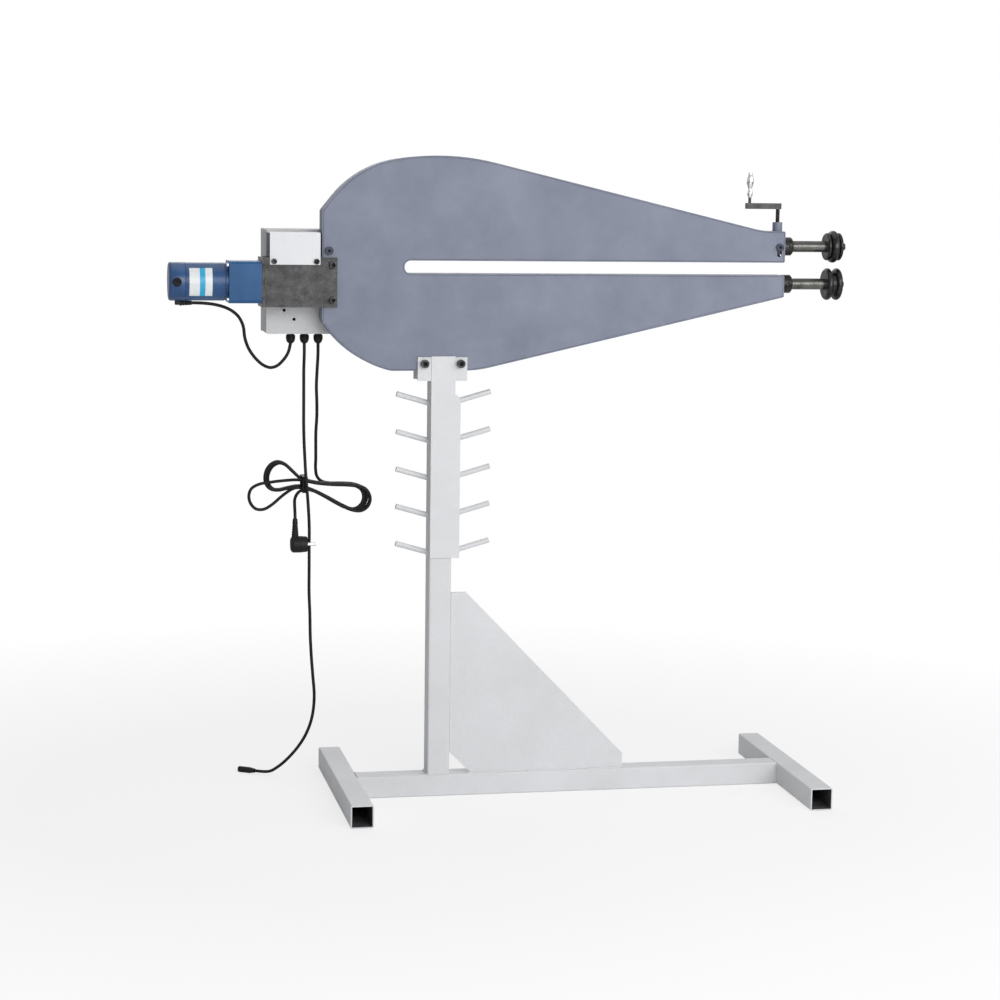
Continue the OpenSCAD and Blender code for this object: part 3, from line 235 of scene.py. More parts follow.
# Blue-grey coat of the body, sprayed thinly over rolled plate, so that the plate's clouds show
blue_grey_coat = powder_coat(
    "blue_grey_powder_coat", ("#6f7588", "#7f8597"), 110, 6, 0.5, 0.0002)
# The same coat, darkened as painted shade in the gap of a seam
seam_painted_shade = powder_coat("painted_shade_in_body_seam", ("#2f3443", "#3f4557"), 20, 3, 0.6)
# The coat on screws that were painted with the body, in a darker tone than the body's
darker_screw_coat = powder_coat(
    "darker_blue_grey_screw_coat", ("#2f3547", "#42485b"), 6, 2, 0.45, specular=0.3)
# White coat of the folded coupling guard
white_coat = powder_coat("white_powder_coat", ("#dddfe2", "#e4e5e8"), 90, 5, 0.42)
# Structured grey coat of the control box: a dry, fine-grained skin
box_coat = powder_coat(
    "structured_grey_powder_coat", ("#c5c6c8", "#d2d3d5"), 110, 3.5, 0.6, 0.0003)
# Glossy blue enamel of the cast gearbox
blue_enamel = powder_coat(
    "blue_gloss_enamel", ("#2a5583", "#356191"), 60, 6, 0.36, specular=0.2)
# Hot-rolled plate with its blue-grey mill scale, oiled: dull, with pale rubbed patches
mill_scale = steel("hot_rolled_mill_scale", ("#3b3b3c", "#525253"), 18, (0.25, 0.25, 0.7),
                   0.5, 0.5, 0.00004, 0.6)
# Black oxide on turned steel, oiled: nearly black, with worn grey rings about the axis
black_oxide = steel("black_oxide_steel", ("#1d1d1e", "#4a4a4a"), 16, ABOUT_X, 0.33, 0.9)
# Oiled bare steel of the shafts, darkened by handling
dark_steel = steel("oiled_dark_steel", ("#51514f", "#777774"), 22, ABOUT_X, 0.27, weight=0.25)
# Black oxide on screws and small parts
black_screw = steel("black_oxide_screw", ("#1c1c1d", "#48484a"), 5, EVEN, 0.36, 0.85)
# The inside of a screw's socket, painted near black as the shade that fills its recess
socket_painted_shade = steel("painted_shade_in_screw_socket", ("#060607", "#0e0e0f"), 3, EVEN, 0.7, 0.2)
# Turned steel, left bright
bright_steel = steel("turned_bright_steel", ("#b4b6b9", "#cfd1d4"), 12, ABOUT_X, 0.26)
# Zinc plating: bright, slightly blue and cloudy
zinc_plate = steel("zinc_plated_steel", ("#b9bec6", "#dde1e6"), 4, (0.2, 0.2, 0.2), 0.24)
# Nickel-plated and polished, so that it mirrors the room
polished_nickel = steel("polished_nickel", ("#dededd", "#ebebea"), 12, (0.1, 0.1, 0.6),
                        0.14, 1.0, 0.000005, 0.2)
# Bronze of the bushes, reamed
bronze = steel("bearing_bronze", ("#9c7840", "#c19a5c"), 8, (0.6, 0.03, 0.03), 0.32)
# Raw inside of a welded tube: dark scale and shadow
tube_inside = steel("raw_tube_inside_in_painted_shadow", ("#434345", "#646467"), 30, (0.1, 0.1, 0.3), 0.7, 0.2)
# Red polyurethane of the coupling's star
red_elastomer = moulded("red_polyurethane", ("#9c3025", "#b43d30"), 4, 0.42)
# Black glass-filled nylon of the glands, knobs and housings
black_nylon = moulded("black_nylon", ("#0e0e0f", "#161617"), 2.5, 0.5)
# Black PVC sheath of the leads: smooth, with a soft sheen
black_sheath = moulded("black_pvc_sheath", ("#09090a", "#0f0f10"), 9, 0.5, 0.00001)
# White ink of the marks on dial and switch, and black ink of the scales beside them
white_ink = moulded("white_ink", ("#e9e9ea", "#f4f4f5"), 3, 0.5)
black_ink = moulded("black_ink", ("#19191a", "#252526"), 3, 0.5)
# Glossy blue enamel of the motor, whose housing was turned
motor_enamel = ringed_enamel("blue_enamel_on_turned_housing", ("#1c3f6c", "#2c5689"))
# The motor's label, whose band lies between two bare stretches of white
label_vinyl = printed_vinyl("printed_vinyl_label", -0.5290, -0.5172)


# ---------------------------------------------------------------- making pieces

# Corners of the CAD's loose triangles that lie this close together are one
SAME_CORNER = 0.000005


def chosen(piece):
    """Makes piece the only selected object, and the active one."""
    if bpy.context.mode != "OBJECT":
        bpy.ops.object.mode_set(mode="OBJECT")
    bpy.ops.object.select_all(action="DESELECT")
    piece.select_set(True)
    bpy.context.view_layer.objects.active = piece
    return piece


def opened(piece):
    """Opens the piece in edit mode, with all of it selected."""
    chosen(piece)
    bpy.ops.object.mode_set(mode="EDIT")
    bpy.ops.mesh.select_all(action="SELECT")


def closed_up(piece):
    """Leaves edit mode, and gives back the piece."""
    bpy.ops.object.mode_set(mode="OBJECT")
    return piece


def pick(piece, test, kind="FACE"):
    """Selects, in edit mode, the faces or edges that pass the test."""
    bpy.ops.mesh.select_mode(type=kind)
    bpy.ops.mesh.select_all(action="DESELECT")
    work = bmesh.from_edit_mesh(piece.data)
    for part in work.faces if kind == "FACE" else work.edges:
        if test(part):
            part.select_set(True)
    bmesh.update_edit_mesh(piece.data)


def modified(piece, kind, **settings):
    """Adds a modifier with its settings, and applies it."""
    chosen(piece)
    bpy.ops.object.modifier_add(type=kind)
    modifier = piece.modifiers[-1]
    for name, value in settings.items():
        setattr(modifier, name, value)
    bpy.ops.object.modifier_apply(modifier=modifier.name)
    return piece


def smoothed(piece, angle=32):
    """Shades the piece smooth, but for the edges that turn by more than the angle."""
    chosen(piece)
    bpy.ops.object.shade_smooth_by_angle(angle=math.radians(angle))
    return piece


def soften(piece, edge, angle=32, segments=2):
    """Breaks the piece's sharp edges by so many millimetres, as deburring and paint leave them, and
    weighs its normals by area, so that the flat faces shade flat."""
    modified(piece, "BEVEL", width=edge / 1000, segments=segments, limit_method="ANGLE",
             angle_limit=math.radians(angle), miter_outer="MITER_ARC")
    return modified(smoothed(piece), "WEIGHTED_NORMAL", keep_sharp=True)


def cut_away(piece, cutter):
    """Takes the cutter's shape out of the piece."""
    modified(piece, "BOOLEAN", object=cutter, operation="DIFFERENCE")
    bpy.data.objects.remove(cutter)
    return piece


def finished(piece, finish, body, slot, *nodes):
    """Gives the piece its finish, the body that it rides on, and the CAD nodes that it stands for.
    A piece that already has its finishes is given none."""
    if finish is not None:
        piece.data.materials.clear()
        piece.data.materials.append(finish)
    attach(piece, body)
    if nodes:
        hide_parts(*nodes)
    return piece


def stands_for(piece, finish, *nodes):
    """Finishes a piece that stands for CAD nodes, on their body."""
    return finished(piece, finish, body_of[nodes[0]], slot_of[nodes[0]], *nodes)


def two_finishes(piece, most, rest, test):
    """Gives the piece one finish, and another to the faces that pass the test."""
    piece.data.materials.clear()
    piece.data.materials.append(most)
    piece.data.materials.append(rest)
    opened(piece)
    pick(piece, test)
    piece.active_material_index = 1
    bpy.ops.object.material_slot_assign()
    return closed_up(piece)


def cad_copy(node, name):
    """A copy of a CAD node with its own mesh, merged and rid of the lines across its flat faces."""
    piece = placed(name, cad[node].data.copy())
    opened(piece)
    bpy.ops.mesh.remove_doubles(threshold=SAME_CORNER)
    bpy.ops.mesh.dissolve_limited(angle_limit=math.radians(0.4))
    return closed_up(piece)


def sockets(piece, along):
    """Paints shade into the socket in each head of a group of screws along that axis: its walls
    look towards the screw's own axis, and its floor lies across it."""
    piece.data.materials.append(socket_painted_shade)
    middle_zone = 0.0005
    work = bmesh.new()
    work.from_mesh(piece.data)
    loose = set(work.faces)
    while loose:
        screw, edge = [], [loose.pop()]
        while edge:
            face = edge.pop()
            screw.append(face)
            near = {other for side in face.edges for other in side.link_faces} & loose
            loose -= near
            edge += near
        spots = [vert.co for face in screw for vert in face.verts]
        middle = Vector((min(s[i] for s in spots) + max(s[i] for s in spots)) / 2 for i in range(3))
        for face in screw:
            off = face.calc_center_median() - middle
            off[along] = 0
            is_wall = abs(face.normal[along]) < 0.5
            if off.dot(face.normal) < -middle_zone if is_wall else off.length < middle_zone:
                # The socket's walls and floor take the painted shade
                face.material_index = len(piece.data.materials) - 1
    work.to_mesh(piece.data)
    work.free()
    return piece


def joined(pieces, name):
    """Several pieces made one."""
    chosen(pieces[0])
    for piece in pieces:
        piece.select_set(True)
    if len(pieces) > 1:
        bpy.ops.object.join()
    pieces[0].name = name
    return pieces[0]


def copied(piece, move, name, turn=None):
    """A copy with its own mesh, turned and then moved."""
    twin = placed(name, piece.data.copy())
    twin.data.transform(Matrix.Translation(move) @ (turn or Matrix.Identity(4)))
    return twin


def drawn(name, points, lines):
    """A piece that is so far only points and the lines between them."""
    mesh = bpy.data.meshes.new(name)
    mesh.from_pydata(points, lines, [])
    return placed(name, mesh)


def turned(name, profile, place, axis, steps=64, closed=True, sweep=360.0):
    """A lathe-turned piece. The profile is (distance along the axis, radius) in millimetres. A part
    turn about an axis along X is swept to both sides of the front."""
    place, axis = Vector(place) / 1000, Vector(axis)
    out = Vector((0, 0, 1)) if abs(axis[2]) < 0.5 else Vector((1, 0, 0))
    points = [place + axis * (along / 1000) + out * (radius / 1000) for along, radius in profile]
    lines = [(i, i + 1) for i in range(len(points) - 1)]
    if closed:
        lines.append((len(points) - 1, 0))
    piece = drawn(name, points, lines)
    opened(piece)
    if sweep < 360:
        bpy.ops.transform.rotate(
            value=math.radians(sweep / 2 - 90), orient_axis="X", center_override=place)
    bpy.ops.mesh.spin(steps=steps, angle=-math.radians(sweep), center=place, axis=axis)
    bpy.ops.mesh.select_all(action="SELECT")
    bpy.ops.mesh.remove_doubles(threshold=0.000002)
    bpy.ops.mesh.normals_make_consistent(inside=False)
    return smoothed(piece)


def block(name, low, high, edge=0):
    """A cube stretched between two corners, in millimetres, with its edges broken."""
    bpy.ops.object.select_all(action="DESELECT")
    bpy.ops.mesh.primitive_cube_add(size=1.0)
    piece = bpy.context.active_object
    piece.name = name
    low, high = Vector(low) / 1000, Vector(high) / 1000
    piece.data.transform(
        Matrix.Translation((low + high) / 2) @ Matrix.Diagonal((*(high - low), 1.0)))
    return soften(piece, edge, segments=3) if edge else piece


def round_line(name, points, radius, facets, closed=False, swell=lambda k: 1.0):
    """A round line through points: a curve of one spline, whose radius swells at each point."""
    data = bpy.data.curves.new(name, "CURVE")
    data.dimensions = "3D"
    line = data.splines.new("POLY")
    line.points.add(len(points) - 1)
    line.use_cyclic_u = closed
    line.use_smooth = True
    for k, (spot, point) in enumerate(zip(line.points, points)):
        spot.co = (*point, 1.0)
        spot.radius = swell(k)
    data.bevel_depth = radius
    data.bevel_resolution = facets
    data.use_fill_caps = not closed
    return placed(name, data)


# ---------------------------------------------------------------- leads

# Diameter of every lead
LEAD = 0.007


def smooth_route(points, parts=4):
    """Points on one smooth curve through the given ones."""
    points = [Vector(p) for p in points]
    chords = [(b - a).length for a, b in zip(points, points[1:])]
    ways = [(b - a) / d for a, b, d in zip(points, points[1:], chords)]
    slopes = [ways[0]] + [
        (ways[i - 1] * chords[i] + ways[i] * chords[i - 1]) / (chords[i - 1] + chords[i])
        for i in range(1, len(ways))] + [ways[-1]]
    route = []
    for i, d in enumerate(chords):
        for k in range(parts):
            t = k / parts
            route.append(points[i] * (2 * t ** 3 - 3 * t ** 2 + 1)
                         + slopes[i] * d * (t ** 3 - 2 * t ** 2 + t)
                         + points[i + 1] * (3 * t ** 2 - 2 * t ** 3)
                         + slopes[i + 1] * d * (t ** 3 - t ** 2))
    return route + [points[-1]]


def route_length(route):
    """The length of a route, from point to point."""
    return sum((b - a).length for a, b in zip(route, route[1:]))


def lead(name, route, *nodes):
    """A lead along its route, in its black sheath."""
    return stands_for(round_line(name, route, LEAD / 2, 6), black_sheath, *nodes)


motor_points = [
    [-0.568, 0, 1.101], [-0.547, 0.002, 1.101], [-0.518, 0.006, 1.1], [-0.489, 0.011, 1.096],
    [-0.459, 0.017, 1.085], [-0.441, 0.023, 1.07], [-0.431, 0.029, 1.051], [-0.426, 0.036, 1.022],
    [-0.418, 0.043, 1.001], [-0.401, 0.051, 0.977], [-0.38, 0.06, 0.96], [-0.367, 0.066, 0.956],
    [-0.353, 0.072, 0.959], [-0.338, 0.079, 0.971], [-0.326, 0.085, 0.988], [-0.3205, 0.088, 1.008]]
pedal_points = [
    [-0.29, 0.088, 1.008], [-0.29, 0.088, 0.985], [-0.291, 0.088, 0.95], [-0.291, 0.088, 0.91],
    [-0.291, 0.088, 0.87], [-0.291, 0.088, 0.83], [-0.29, 0.088, 0.79], [-0.288, 0.088, 0.75],
    [-0.286, 0.088, 0.715], [-0.283, 0.088, 0.68], [-0.28, 0.088, 0.64], [-0.278, 0.088, 0.6],
    [-0.278, 0.088, 0.55], [-0.278, 0.088, 0.5], [-0.278, 0.088, 0.45], [-0.276, 0.088, 0.4],
    [-0.275, 0.088, 0.35], [-0.272, 0.09, 0.3], [-0.268, 0.094, 0.255], [-0.264, 0.102, 0.215],
    [-0.264, 0.114, 0.18], [-0.268, 0.13, 0.145], [-0.278, 0.148, 0.11], [-0.293, 0.168, 0.078],
    [-0.313, 0.188, 0.048], [-0.334, 0.207, 0.024], [-0.352, 0.222, 0.01], [-0.37, 0.235, 0.007],
    [-0.384, 0.244, 0.007]]
mains_points = [
    [-0.2595, 0.088, 1.008], [-0.2595, 0.088, 0.985], [-0.261, 0.09, 0.95], [-0.262, 0.095, 0.912],
    [-0.26, 0.102, 0.876], [-0.259, 0.11, 0.842], [-0.26, 0.118, 0.808], [-0.259, 0.127, 0.774],
    [-0.258, 0.134, 0.746], [-0.2578, 0.139, 0.722], [-0.2552, 0.141, 0.707],
    [-0.2495, 0.1423, 0.6982], [-0.2415, 0.143, 0.6928]]
tail_points = [
    [-0.2846, 0.1045, 0.6805], [-0.2932, 0.1025, 0.6788], [-0.3008, 0.099, 0.6746],
    [-0.3068, 0.094, 0.6682], [-0.3105, 0.088, 0.6602], [-0.3116, 0.082, 0.652],
    [-0.312, 0.074, 0.64], [-0.312, 0.0695, 0.63], [-0.312, 0.068, 0.62]]

# The hank: how far each loop reaches to its side, and how far it swells above and below the waist
RIGHT_LOOPS = ((0.150, 0.068), (0.156, 0.067), (0.146, 0.067), (0.138, 0.065), (0.153, 0.067))
LEFT_LOOPS = ((0.088, 0.060), (0.082, 0.057), (0.090, 0.060), (0.128, 0.070))
# Its turns, and the steps along them. Where on a turn it starts, and how far it tilts, in degrees
HANK_TURNS, HANK_STEPS, HANK_START, HANK_TILT = 4.43, 106, 70, 16
# Its middle, half the height of its waist, and how far each turn lies in front of the last
HANK_MIDDLE, HANK_WAIST, HANK_PITCH = (-0.286, 0.143, 0.691), 0.008, 0.0085


def hank_point(turns):
    """Where the mains lead is after so many turns of its hank, whose loops lie on both sides of a
    waist. The last loop to the left droops."""
    a = math.radians(HANK_START - 360 * turns)
    u = math.cos(a)
    loop = math.floor(turns + (90 - HANK_START) / 360)
    reach, swell = (RIGHT_LOOPS if u > 0 else LEFT_LOOPS)[loop]
    short = reach < 0.1
    x = reach * u
    z = math.sin(a) * (
        HANK_WAIST + (swell - HANK_WAIST) * (2.5 - 1.5 * abs(u) if short else 1) * u * u)
    droop = 2 * (1 - (1 + u) ** 3) if u < 0 and loop == 3 else 0
    tilt = math.radians(HANK_TILT * (1 - droop))
    middle_x, rear_y, middle_z = HANK_MIDDLE
    return [middle_x + x * math.cos(tilt) + z * math.sin(tilt), rear_y - HANK_PITCH * turns,
            middle_z + z * math.cos(tilt) - x * math.sin(tilt)]


hank_points = [hank_point(HANK_TURNS * k / HANK_STEPS) for k in range(HANK_STEPS + 1)]
motor_route = smooth_route(motor_points)
pedal_route = smooth_route(pedal_points)
mains_route = smooth_route(mains_points + hank_points + tail_points, 3)
motor_lead = lead("motor_lead_sheath", motor_route, "motor_lead")
pedal_lead = lead("pedal_lead_sheath", pedal_route, "pedal_lead")
mains_lead = lead("mains_lead_sheath", mains_route, "mains_lead", "mains_hank")


def pedal_plug():
    """The in-line connector of the pedal lead: a ribbed boot, a barrel and a knurled ring."""
    way = Vector((-14, 9, 0)).normalized()
    profile = [
        (0, 3.6), (0, 4.8), (2.5, 5.2), (3, 4.8), (5, 5.3), (5.5, 5.7), (7.5, 5.9), (8, 5.6),
        (10, 6.3), (12, 6.9), (12.4, 7.0), (25, 7.0), (25.4, 6.6), (27, 6.6), (27.4, 7.0),
        (40.5, 7.0), (41.2, 6.2), (42, 6.0), (42, 4.8), (34, 4.8), (34, 3.6)]
    end = [c * 1000 for c in pedal_points[-1]]
    piece = turned("pedal_lead_connector", profile, end, way, 48)
    return stands_for(piece, black_nylon, "pedal_connector")


connector = pedal_plug()


def plug():
    """A moulded angle plug: a ribbed grip that tapers to the lead, and a round head with two pins
    and with its earth recesses above and below."""
    x, y, z = -312.0, 68.0, 620.0
    head_z = z - 58
    grip_profile = [(-60, 0), (-60, 7.5), (-57, 9.0), (-50, 9.0)]
    for step in range(6):
        along, less = step * 6, step * 0.45
        grip_profile += [(-47 + along, 8.8 - less), (-45.8 + along, 7.9 - less),
                         (-43.4 + along, 7.9 - less), (-42.2 + along, 8.4 - less)]
    grip_profile += [(-8, 6.0), (-1, 5.2), (0, 4.4), (0, 0)]
    handle = turned("plug_grip", grip_profile, (x, y, z), (0, 0, 1), 32, closed=False)
    head_profile = [(-10, 0), (-10, 13), (-7, 17.2), (-4, 18.5), (14, 18.5), (15, 18.2),
                    (24, 17.4), (27, 16.6), (27, 0)]
    head = turned("plug_head", head_profile, (x, y, head_z), (1, 0, 0), 48, closed=False)
    for side in (-1, 1):
        recess_z = head_z + side * 19
        cut_away(head, block("recess", (x + 12, y - 3.2, recess_z - 3),
                             (x + 30, y + 3.2, recess_z + 3)))
    shell = soften(joined([handle, head], "mains_plug_shell"), 0.5, 40)
    pin_profile = [(26, 0), (26, 2.4), (44, 2.4), (45.5, 1.8), (46, 0.9), (46, 0)]
    pins = joined([
        turned("pin", pin_profile, (x, y + side * 9.5, head_z), (1, 0, 0), 24, closed=False)
        for side in (-1, 1)], "mains_plug_pins")
    return (stands_for(shell, black_nylon, "mains_plug"),
            finished(pins, zinc_plate, "frame", slot_of["mains_plug"]))


plug_shell, plug_pins = plug()

# The strap round the waist of the hank: a flat band with rounded edges and a tongue
tie = stands_for(soften(cad_copy("hank_tie", "hank_strap"), 0.9), black_sheath, "hank_tie")

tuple(motor_route[0])
route_length(motor_route)
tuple(pedal_route[0])
route_length(pedal_route)
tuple(mains_route[0])
route_length(mains_route)


# ---------------------------------------------------------------- refined CAD pieces

# CAD nodes that keep their shape, and their finish
KEPT = {
    "rim_strip": blue_grey_coat, "rear_bearing_block": mill_scale, "nose_bearing_block": mill_scale,
    "lower_bushes": bronze, "upper_bushes": bronze, "lower_shaft": dark_steel,
    "upper_shaft": dark_steel, "upper_carrier": black_oxide, "return_spring": bright_steel,
    "spring_anchor": bright_steel, "screw_foot": bright_steel, "output_shaft": bright_steel,
    "layshaft": bright_steel, "coupling_spider": red_elastomer, "motor_rotor": mill_scale,
}
# CAD nodes that are refined: finish, and width of the broken edges in millimetres
REFINED = {
    "gusset_plate": (light_grey_coat, 0.9), "rack_plate": (light_grey_coat, 0.9),
    "die_pegs": (light_grey_coat, 0.7), "saddle_plates": (light_grey_coat, 0.8),
    "saddle_bolts": (black_screw, 0.5), "front_side_plate": (blue_grey_coat, 0.7),
    "rear_side_plate": (blue_grey_coat, 0.7), "screw_boss": (blue_grey_coat, 0.8),
    "lower_die": (black_oxide, 0.5), "upper_die": (black_oxide, 0.5),
    "lower_die_screw": (black_screw, 0.4), "upper_die_screw": (black_screw, 0.4),
    "pivot_bolt": (darker_screw_coat, 0.5), "guide_bolt": (darker_screw_coat, 0.6), "crank_arm": (mill_scale, 0.9),
    "bracket_plates": (mill_scale, 0.7), "motor_plate": (black_oxide, 0.7),
    "coupling_guard": (white_coat, 0.8), "gearbox": (blue_enamel, 1.4),
    "coupling_hubs": (bright_steel, 0.6), "enclosure_door": (box_coat, 0.7),
    "door_lock": (zinc_plate, 0.4), "direction_switch": (black_nylon, 0.7),
    "motor_drive": (black_nylon, 0.5),
}
# The axis of each node's screws: 0 is X, and 1 is Y
SCREWS_ALONG = {
    "saddle_bolts": 1, "pivot_bolt": 1, "guide_bolt": 1, "lower_die_screw": 0, "upper_die_screw": 0}

for node, finish in KEPT.items():
    cad[node].data.materials.clear()
    cad[node].data.materials.append(finish)
for node, (finish, edge) in REFINED.items():
    refined = cad_copy(node, node + "_refined")
    refined.data.materials.clear()
    refined.data.materials.append(finish)
    if node in SCREWS_ALONG:
        # Painted shade goes into the sockets of the screw heads
        sockets(refined, SCREWS_ALONG[node])
    stands_for(soften(refined, edge), None, node)


def rounded(piece, along, radius=4.0):
    """Rounds the long edges of square tube along that axis, as cold forming leaves them."""
    def is_long(edge):
        way = edge.verts[1].co - edge.verts[0].co
        is_along = way.length > 0.15 and abs(way[along]) > 0.99 * way.length
        return is_along and edge.calc_face_angle(0.0) > 1.0

    opened(piece)
    pick(piece, is_long, "EDGE")
    bpy.ops.mesh.bevel(offset=radius / 1000, segments=4, affect="EDGES")
    return closed_up(piece)


for node, along in (("cross_beam", 0), ("column", 2)):
    tube = soften(rounded(cad_copy(node, node + "_tube"), along), 0.5)
    stands_for(tube, light_grey_coat, node)


def open_tube(node):
    """A foot of square tube: coated outside, raw inside and darkened there by painted shadow."""
    low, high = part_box(node)
    depth = 0.002

    def is_inner(face):
        at = face.calc_center_median()
        is_deep = all(low[i] + depth < at[i] < high[i] - depth for i in (0, 2))
        return is_deep and abs(face.normal.y) < 0.5

    piece = rounded(cad_copy(node, node + "_tube"), 1)
    # The inside takes a raw steel finish darkened with painted shadow
    two_finishes(piece, light_grey_coat, tube_inside, is_inner)
    stands_for(soften(piece, 0.5), None, node)


open_tube("left_foot")
open_tube("right_foot")


def drive_screws():
    """The black cap screws of bracket, guard and box, and the zinc-plated ones of the gearbox."""
    gearbox_end = -0.392
    piece = cad_copy("drive_screws", "drive_screws_refined")
    two_finishes(piece, black_screw, zinc_plate,
                 lambda face: face.calc_center_median().x < gearbox_end)
    stands_for(soften(sockets(piece, 1), 0.5), None, "drive_screws")


drive_screws()


def control_box():
    """The folded box, with its four long corners rounded as a folded sheet has them."""
    left, right = -0.380, -0.200
    low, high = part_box("enclosure_door")
    near = 0.0002

    def is_long_corner(edge):
        a, b = (v.co for v in edge.verts)
        middle = (a + b) / 2
        return abs(a.y - b.y) > 0.08 and min(abs(middle.x - left), abs(middle.x - right)) < near \
            and min(abs(middle.z - low[2]), abs(middle.z - high[2])) < near

    piece = cad_copy("enclosure_shell", "enclosure_shell_refined")
    opened(piece)
    pick(piece, is_long_corner, "EDGE")
    bpy.ops.mesh.bevel(offset=0.0045, segments=5, affect="EDGES")
    stands_for(soften(piece, 0.5), box_coat, "enclosure_shell")


control_box()


# ---------------------------------------------------------------- motor and glands

# Heights of the two shafts, in millimetres. The motor lies on the lower one
LOWER_AXIS, UPPER_AXIS = 1147, 1231


def motor():
    """Housing with a groove and a thin flange at the gearbox, rear cover with the lead's outlet,
    screwed brush caps, and a bare label wrapped round the housing."""
    centre, along_x = (0, 0, LOWER_AXIS), (1, 0, 0)
    housing = turned("motor_housing", [
        (-559, 29), (-559, 40.2), (-558.3, 41), (-475, 41), (-474.2, 39.9), (-472.6, 39.9),
        (-471.8, 41), (-467.7, 41), (-467, 40.3), (-467, 6.3), (-475, 6.3), (-475, 29)],
        centre, along_x, 96)
    cover = turned("motor_cover", [
        (-594, 0), (-594, 36.5), (-593.3, 39), (-591.4, 40.8), (-588.6, 41.5), (-560.4, 41.5),
        (-559.5, 41.1), (-559, 40.3), (-559, 29), (-586, 29), (-586, 6.3), (-590, 6.3), (-590, 0)],
        centre, along_x, 96, closed=False)
    outlet = block("lead_outlet", (-580, -5.5, 1096.6), (-568, 5.5, 1112), 1.6)
    caps = []
    for side in (-1, 1):
        seat = (-577.5, side * 39.5, LOWER_AXIS)
        seat_profile = [(-1.5, 7.5), (-1.5, 9.7), (3.2, 9.7), (4, 8.9), (4, 8.1), (3.4, 7.5)]
        caps.append(turned("brush_seat", seat_profile, seat, (0, side, 0), 48))
        cap_profile = [(-1.5, 0), (-1.5, 7.3), (2.7, 7.3), (3.3, 6.7), (3.3, 0)]
        cap = turned("brush_cap", cap_profile, seat, (0, side, 0), 48, closed=False)
        slot_y = side * 42.9
        slot = block("cap_slot", (-583, slot_y - 1.2, LOWER_AXIS - 0.8),
                     (-572, slot_y + 1.2, LOWER_AXIS + 0.8))
        caps.append(cut_away(cap, slot))
    stands_for(housing, motor_enamel, "motor_body")
    stands_for(cover, motor_enamel, "motor_end_cover")
    small_parts = smoothed(joined([outlet, *caps], "motor_outlet_and_brush_caps"))
    finished(small_parts, black_nylon, "frame", "black_plastic")
    label = turned("motor_label", [(-551, 40.9), (-551, 41.15), (-502, 41.15), (-502, 40.9)],
                   centre, along_x, 30, sweep=94)
    opened(label)
    bpy.ops.mesh.fill_holes(sides=8)
    finished(closed_up(label), label_vinyl, "frame", slot_of["motor_body"])
    # Ribbed sleeve that keeps the lead from kinking where it leaves the cover
    sleeve_profile = [(-2, 3.6), (-2, 6.2), (2.5, 6.2)]
    for step in range(4):
        along, less, rib_less = step * 5, step * 0.2, step * 0.35
        sleeve_profile += [(3.2 + along, 5.2 - less), (5.4 + along, 5.2 - less),
                           (6.1 + along, 5.9 - rib_less), (7.5 + along, 5.8 - rib_less)]
    sleeve_profile += [(24, 4.3), (24, 3.6)]
    sleeve = turned("motor_lead_sleeve", sleeve_profile, (-568, 0, 1101), along_x, 32)
    finished(sleeve, black_sheath, "frame", "black_sheath")


motor()


def glands():
    """Three domed glands: a ribbed dome nut that tapers to its lead, and the body under it."""
    x, y, z = -320.5, 88, 1008
    pitch, sides = 0.0305, 44
    profile = [
        (0, 3.6), (0, 4.7), (0.7, 5.4), (3, 7.8), (5.8, 9.2), (9, 9.75), (18, 9.75), (18.9, 9.2),
        (19.2, 8.1), (26, 8), (26, 10.9), (31, 10.9), (31, 8), (34, 8), (34, 3.6)]
    axis = Vector((x, y)) / 1000

    def is_rib(face):
        at = face.calc_center_median()
        out = at.xy - axis
        sector = math.degrees(math.atan2(out.y, out.x)) / (360 / sides)
        is_nut = 1.017 < at.z < 1.026 and abs(face.normal.z) < 0.1 and out.length > 0.009
        return is_nut and round(sector - 0.5) % 2 == 0

    first = turned("gland", profile, (x, y, z), (0, 0, 1), sides)
    opened(first)
    pick(first, is_rib)
    bpy.ops.mesh.inset(thickness=0.00025, depth=0.0006, use_individual=True)
    closed_up(first)
    row = [first] + [copied(first, (pitch * i, 0, 0), "gland") for i in (1, 2)]
    stands_for(smoothed(joined(row, "cable_glands_ribbed")), black_nylon, "cable_glands")


glands()


# ---------------------------------------------------------------- screw, grip and small features

def pressure_screw():
    """The pressure screw with its thread cut: a core, and a ridge that climbs it 2 mm a turn."""
    x, pitch, rounds, thread_start = 0.765, 0.002, 17, 1.2782
    core = turned("screw_core", [
        (1252.6, 0), (1252.6, 2), (1254.6, 2), (1254.6, 4.5), (1255.1, 5), (1277, 5),
        (1277.8, 4.05), (1314, 4.05), (1314, 0)], (x * 1000, 0, 0), (0, 0, 1), 32, closed=False)
    section = [(3.7, 0.0), (5.0, 0.6), (5.0, 0.85), (3.7, 1.45)]
    ridge = drawn("screw_ridge", [(r / 1000, 0, z / 1000) for r, z in section],
                  [(0, 1), (1, 2), (2, 3), (3, 0)])
    modified(ridge, "SCREW", axis="Z", angle=2 * math.pi, screw_offset=pitch, iterations=rounds,
             steps=28, render_steps=28, use_merge_vertices=True)
    opened(ridge)
    bpy.ops.mesh.fill_holes(sides=8)
    bpy.ops.mesh.select_all(action="SELECT")
    bpy.ops.mesh.normals_make_consistent(inside=False)
    closed_up(ridge).data.transform(Matrix.Translation((x, 0, thread_start)))
    stands_for(smoothed(joined([core, ridge], "pressure_screw")), black_screw, "adjusting_screw")


pressure_screw()


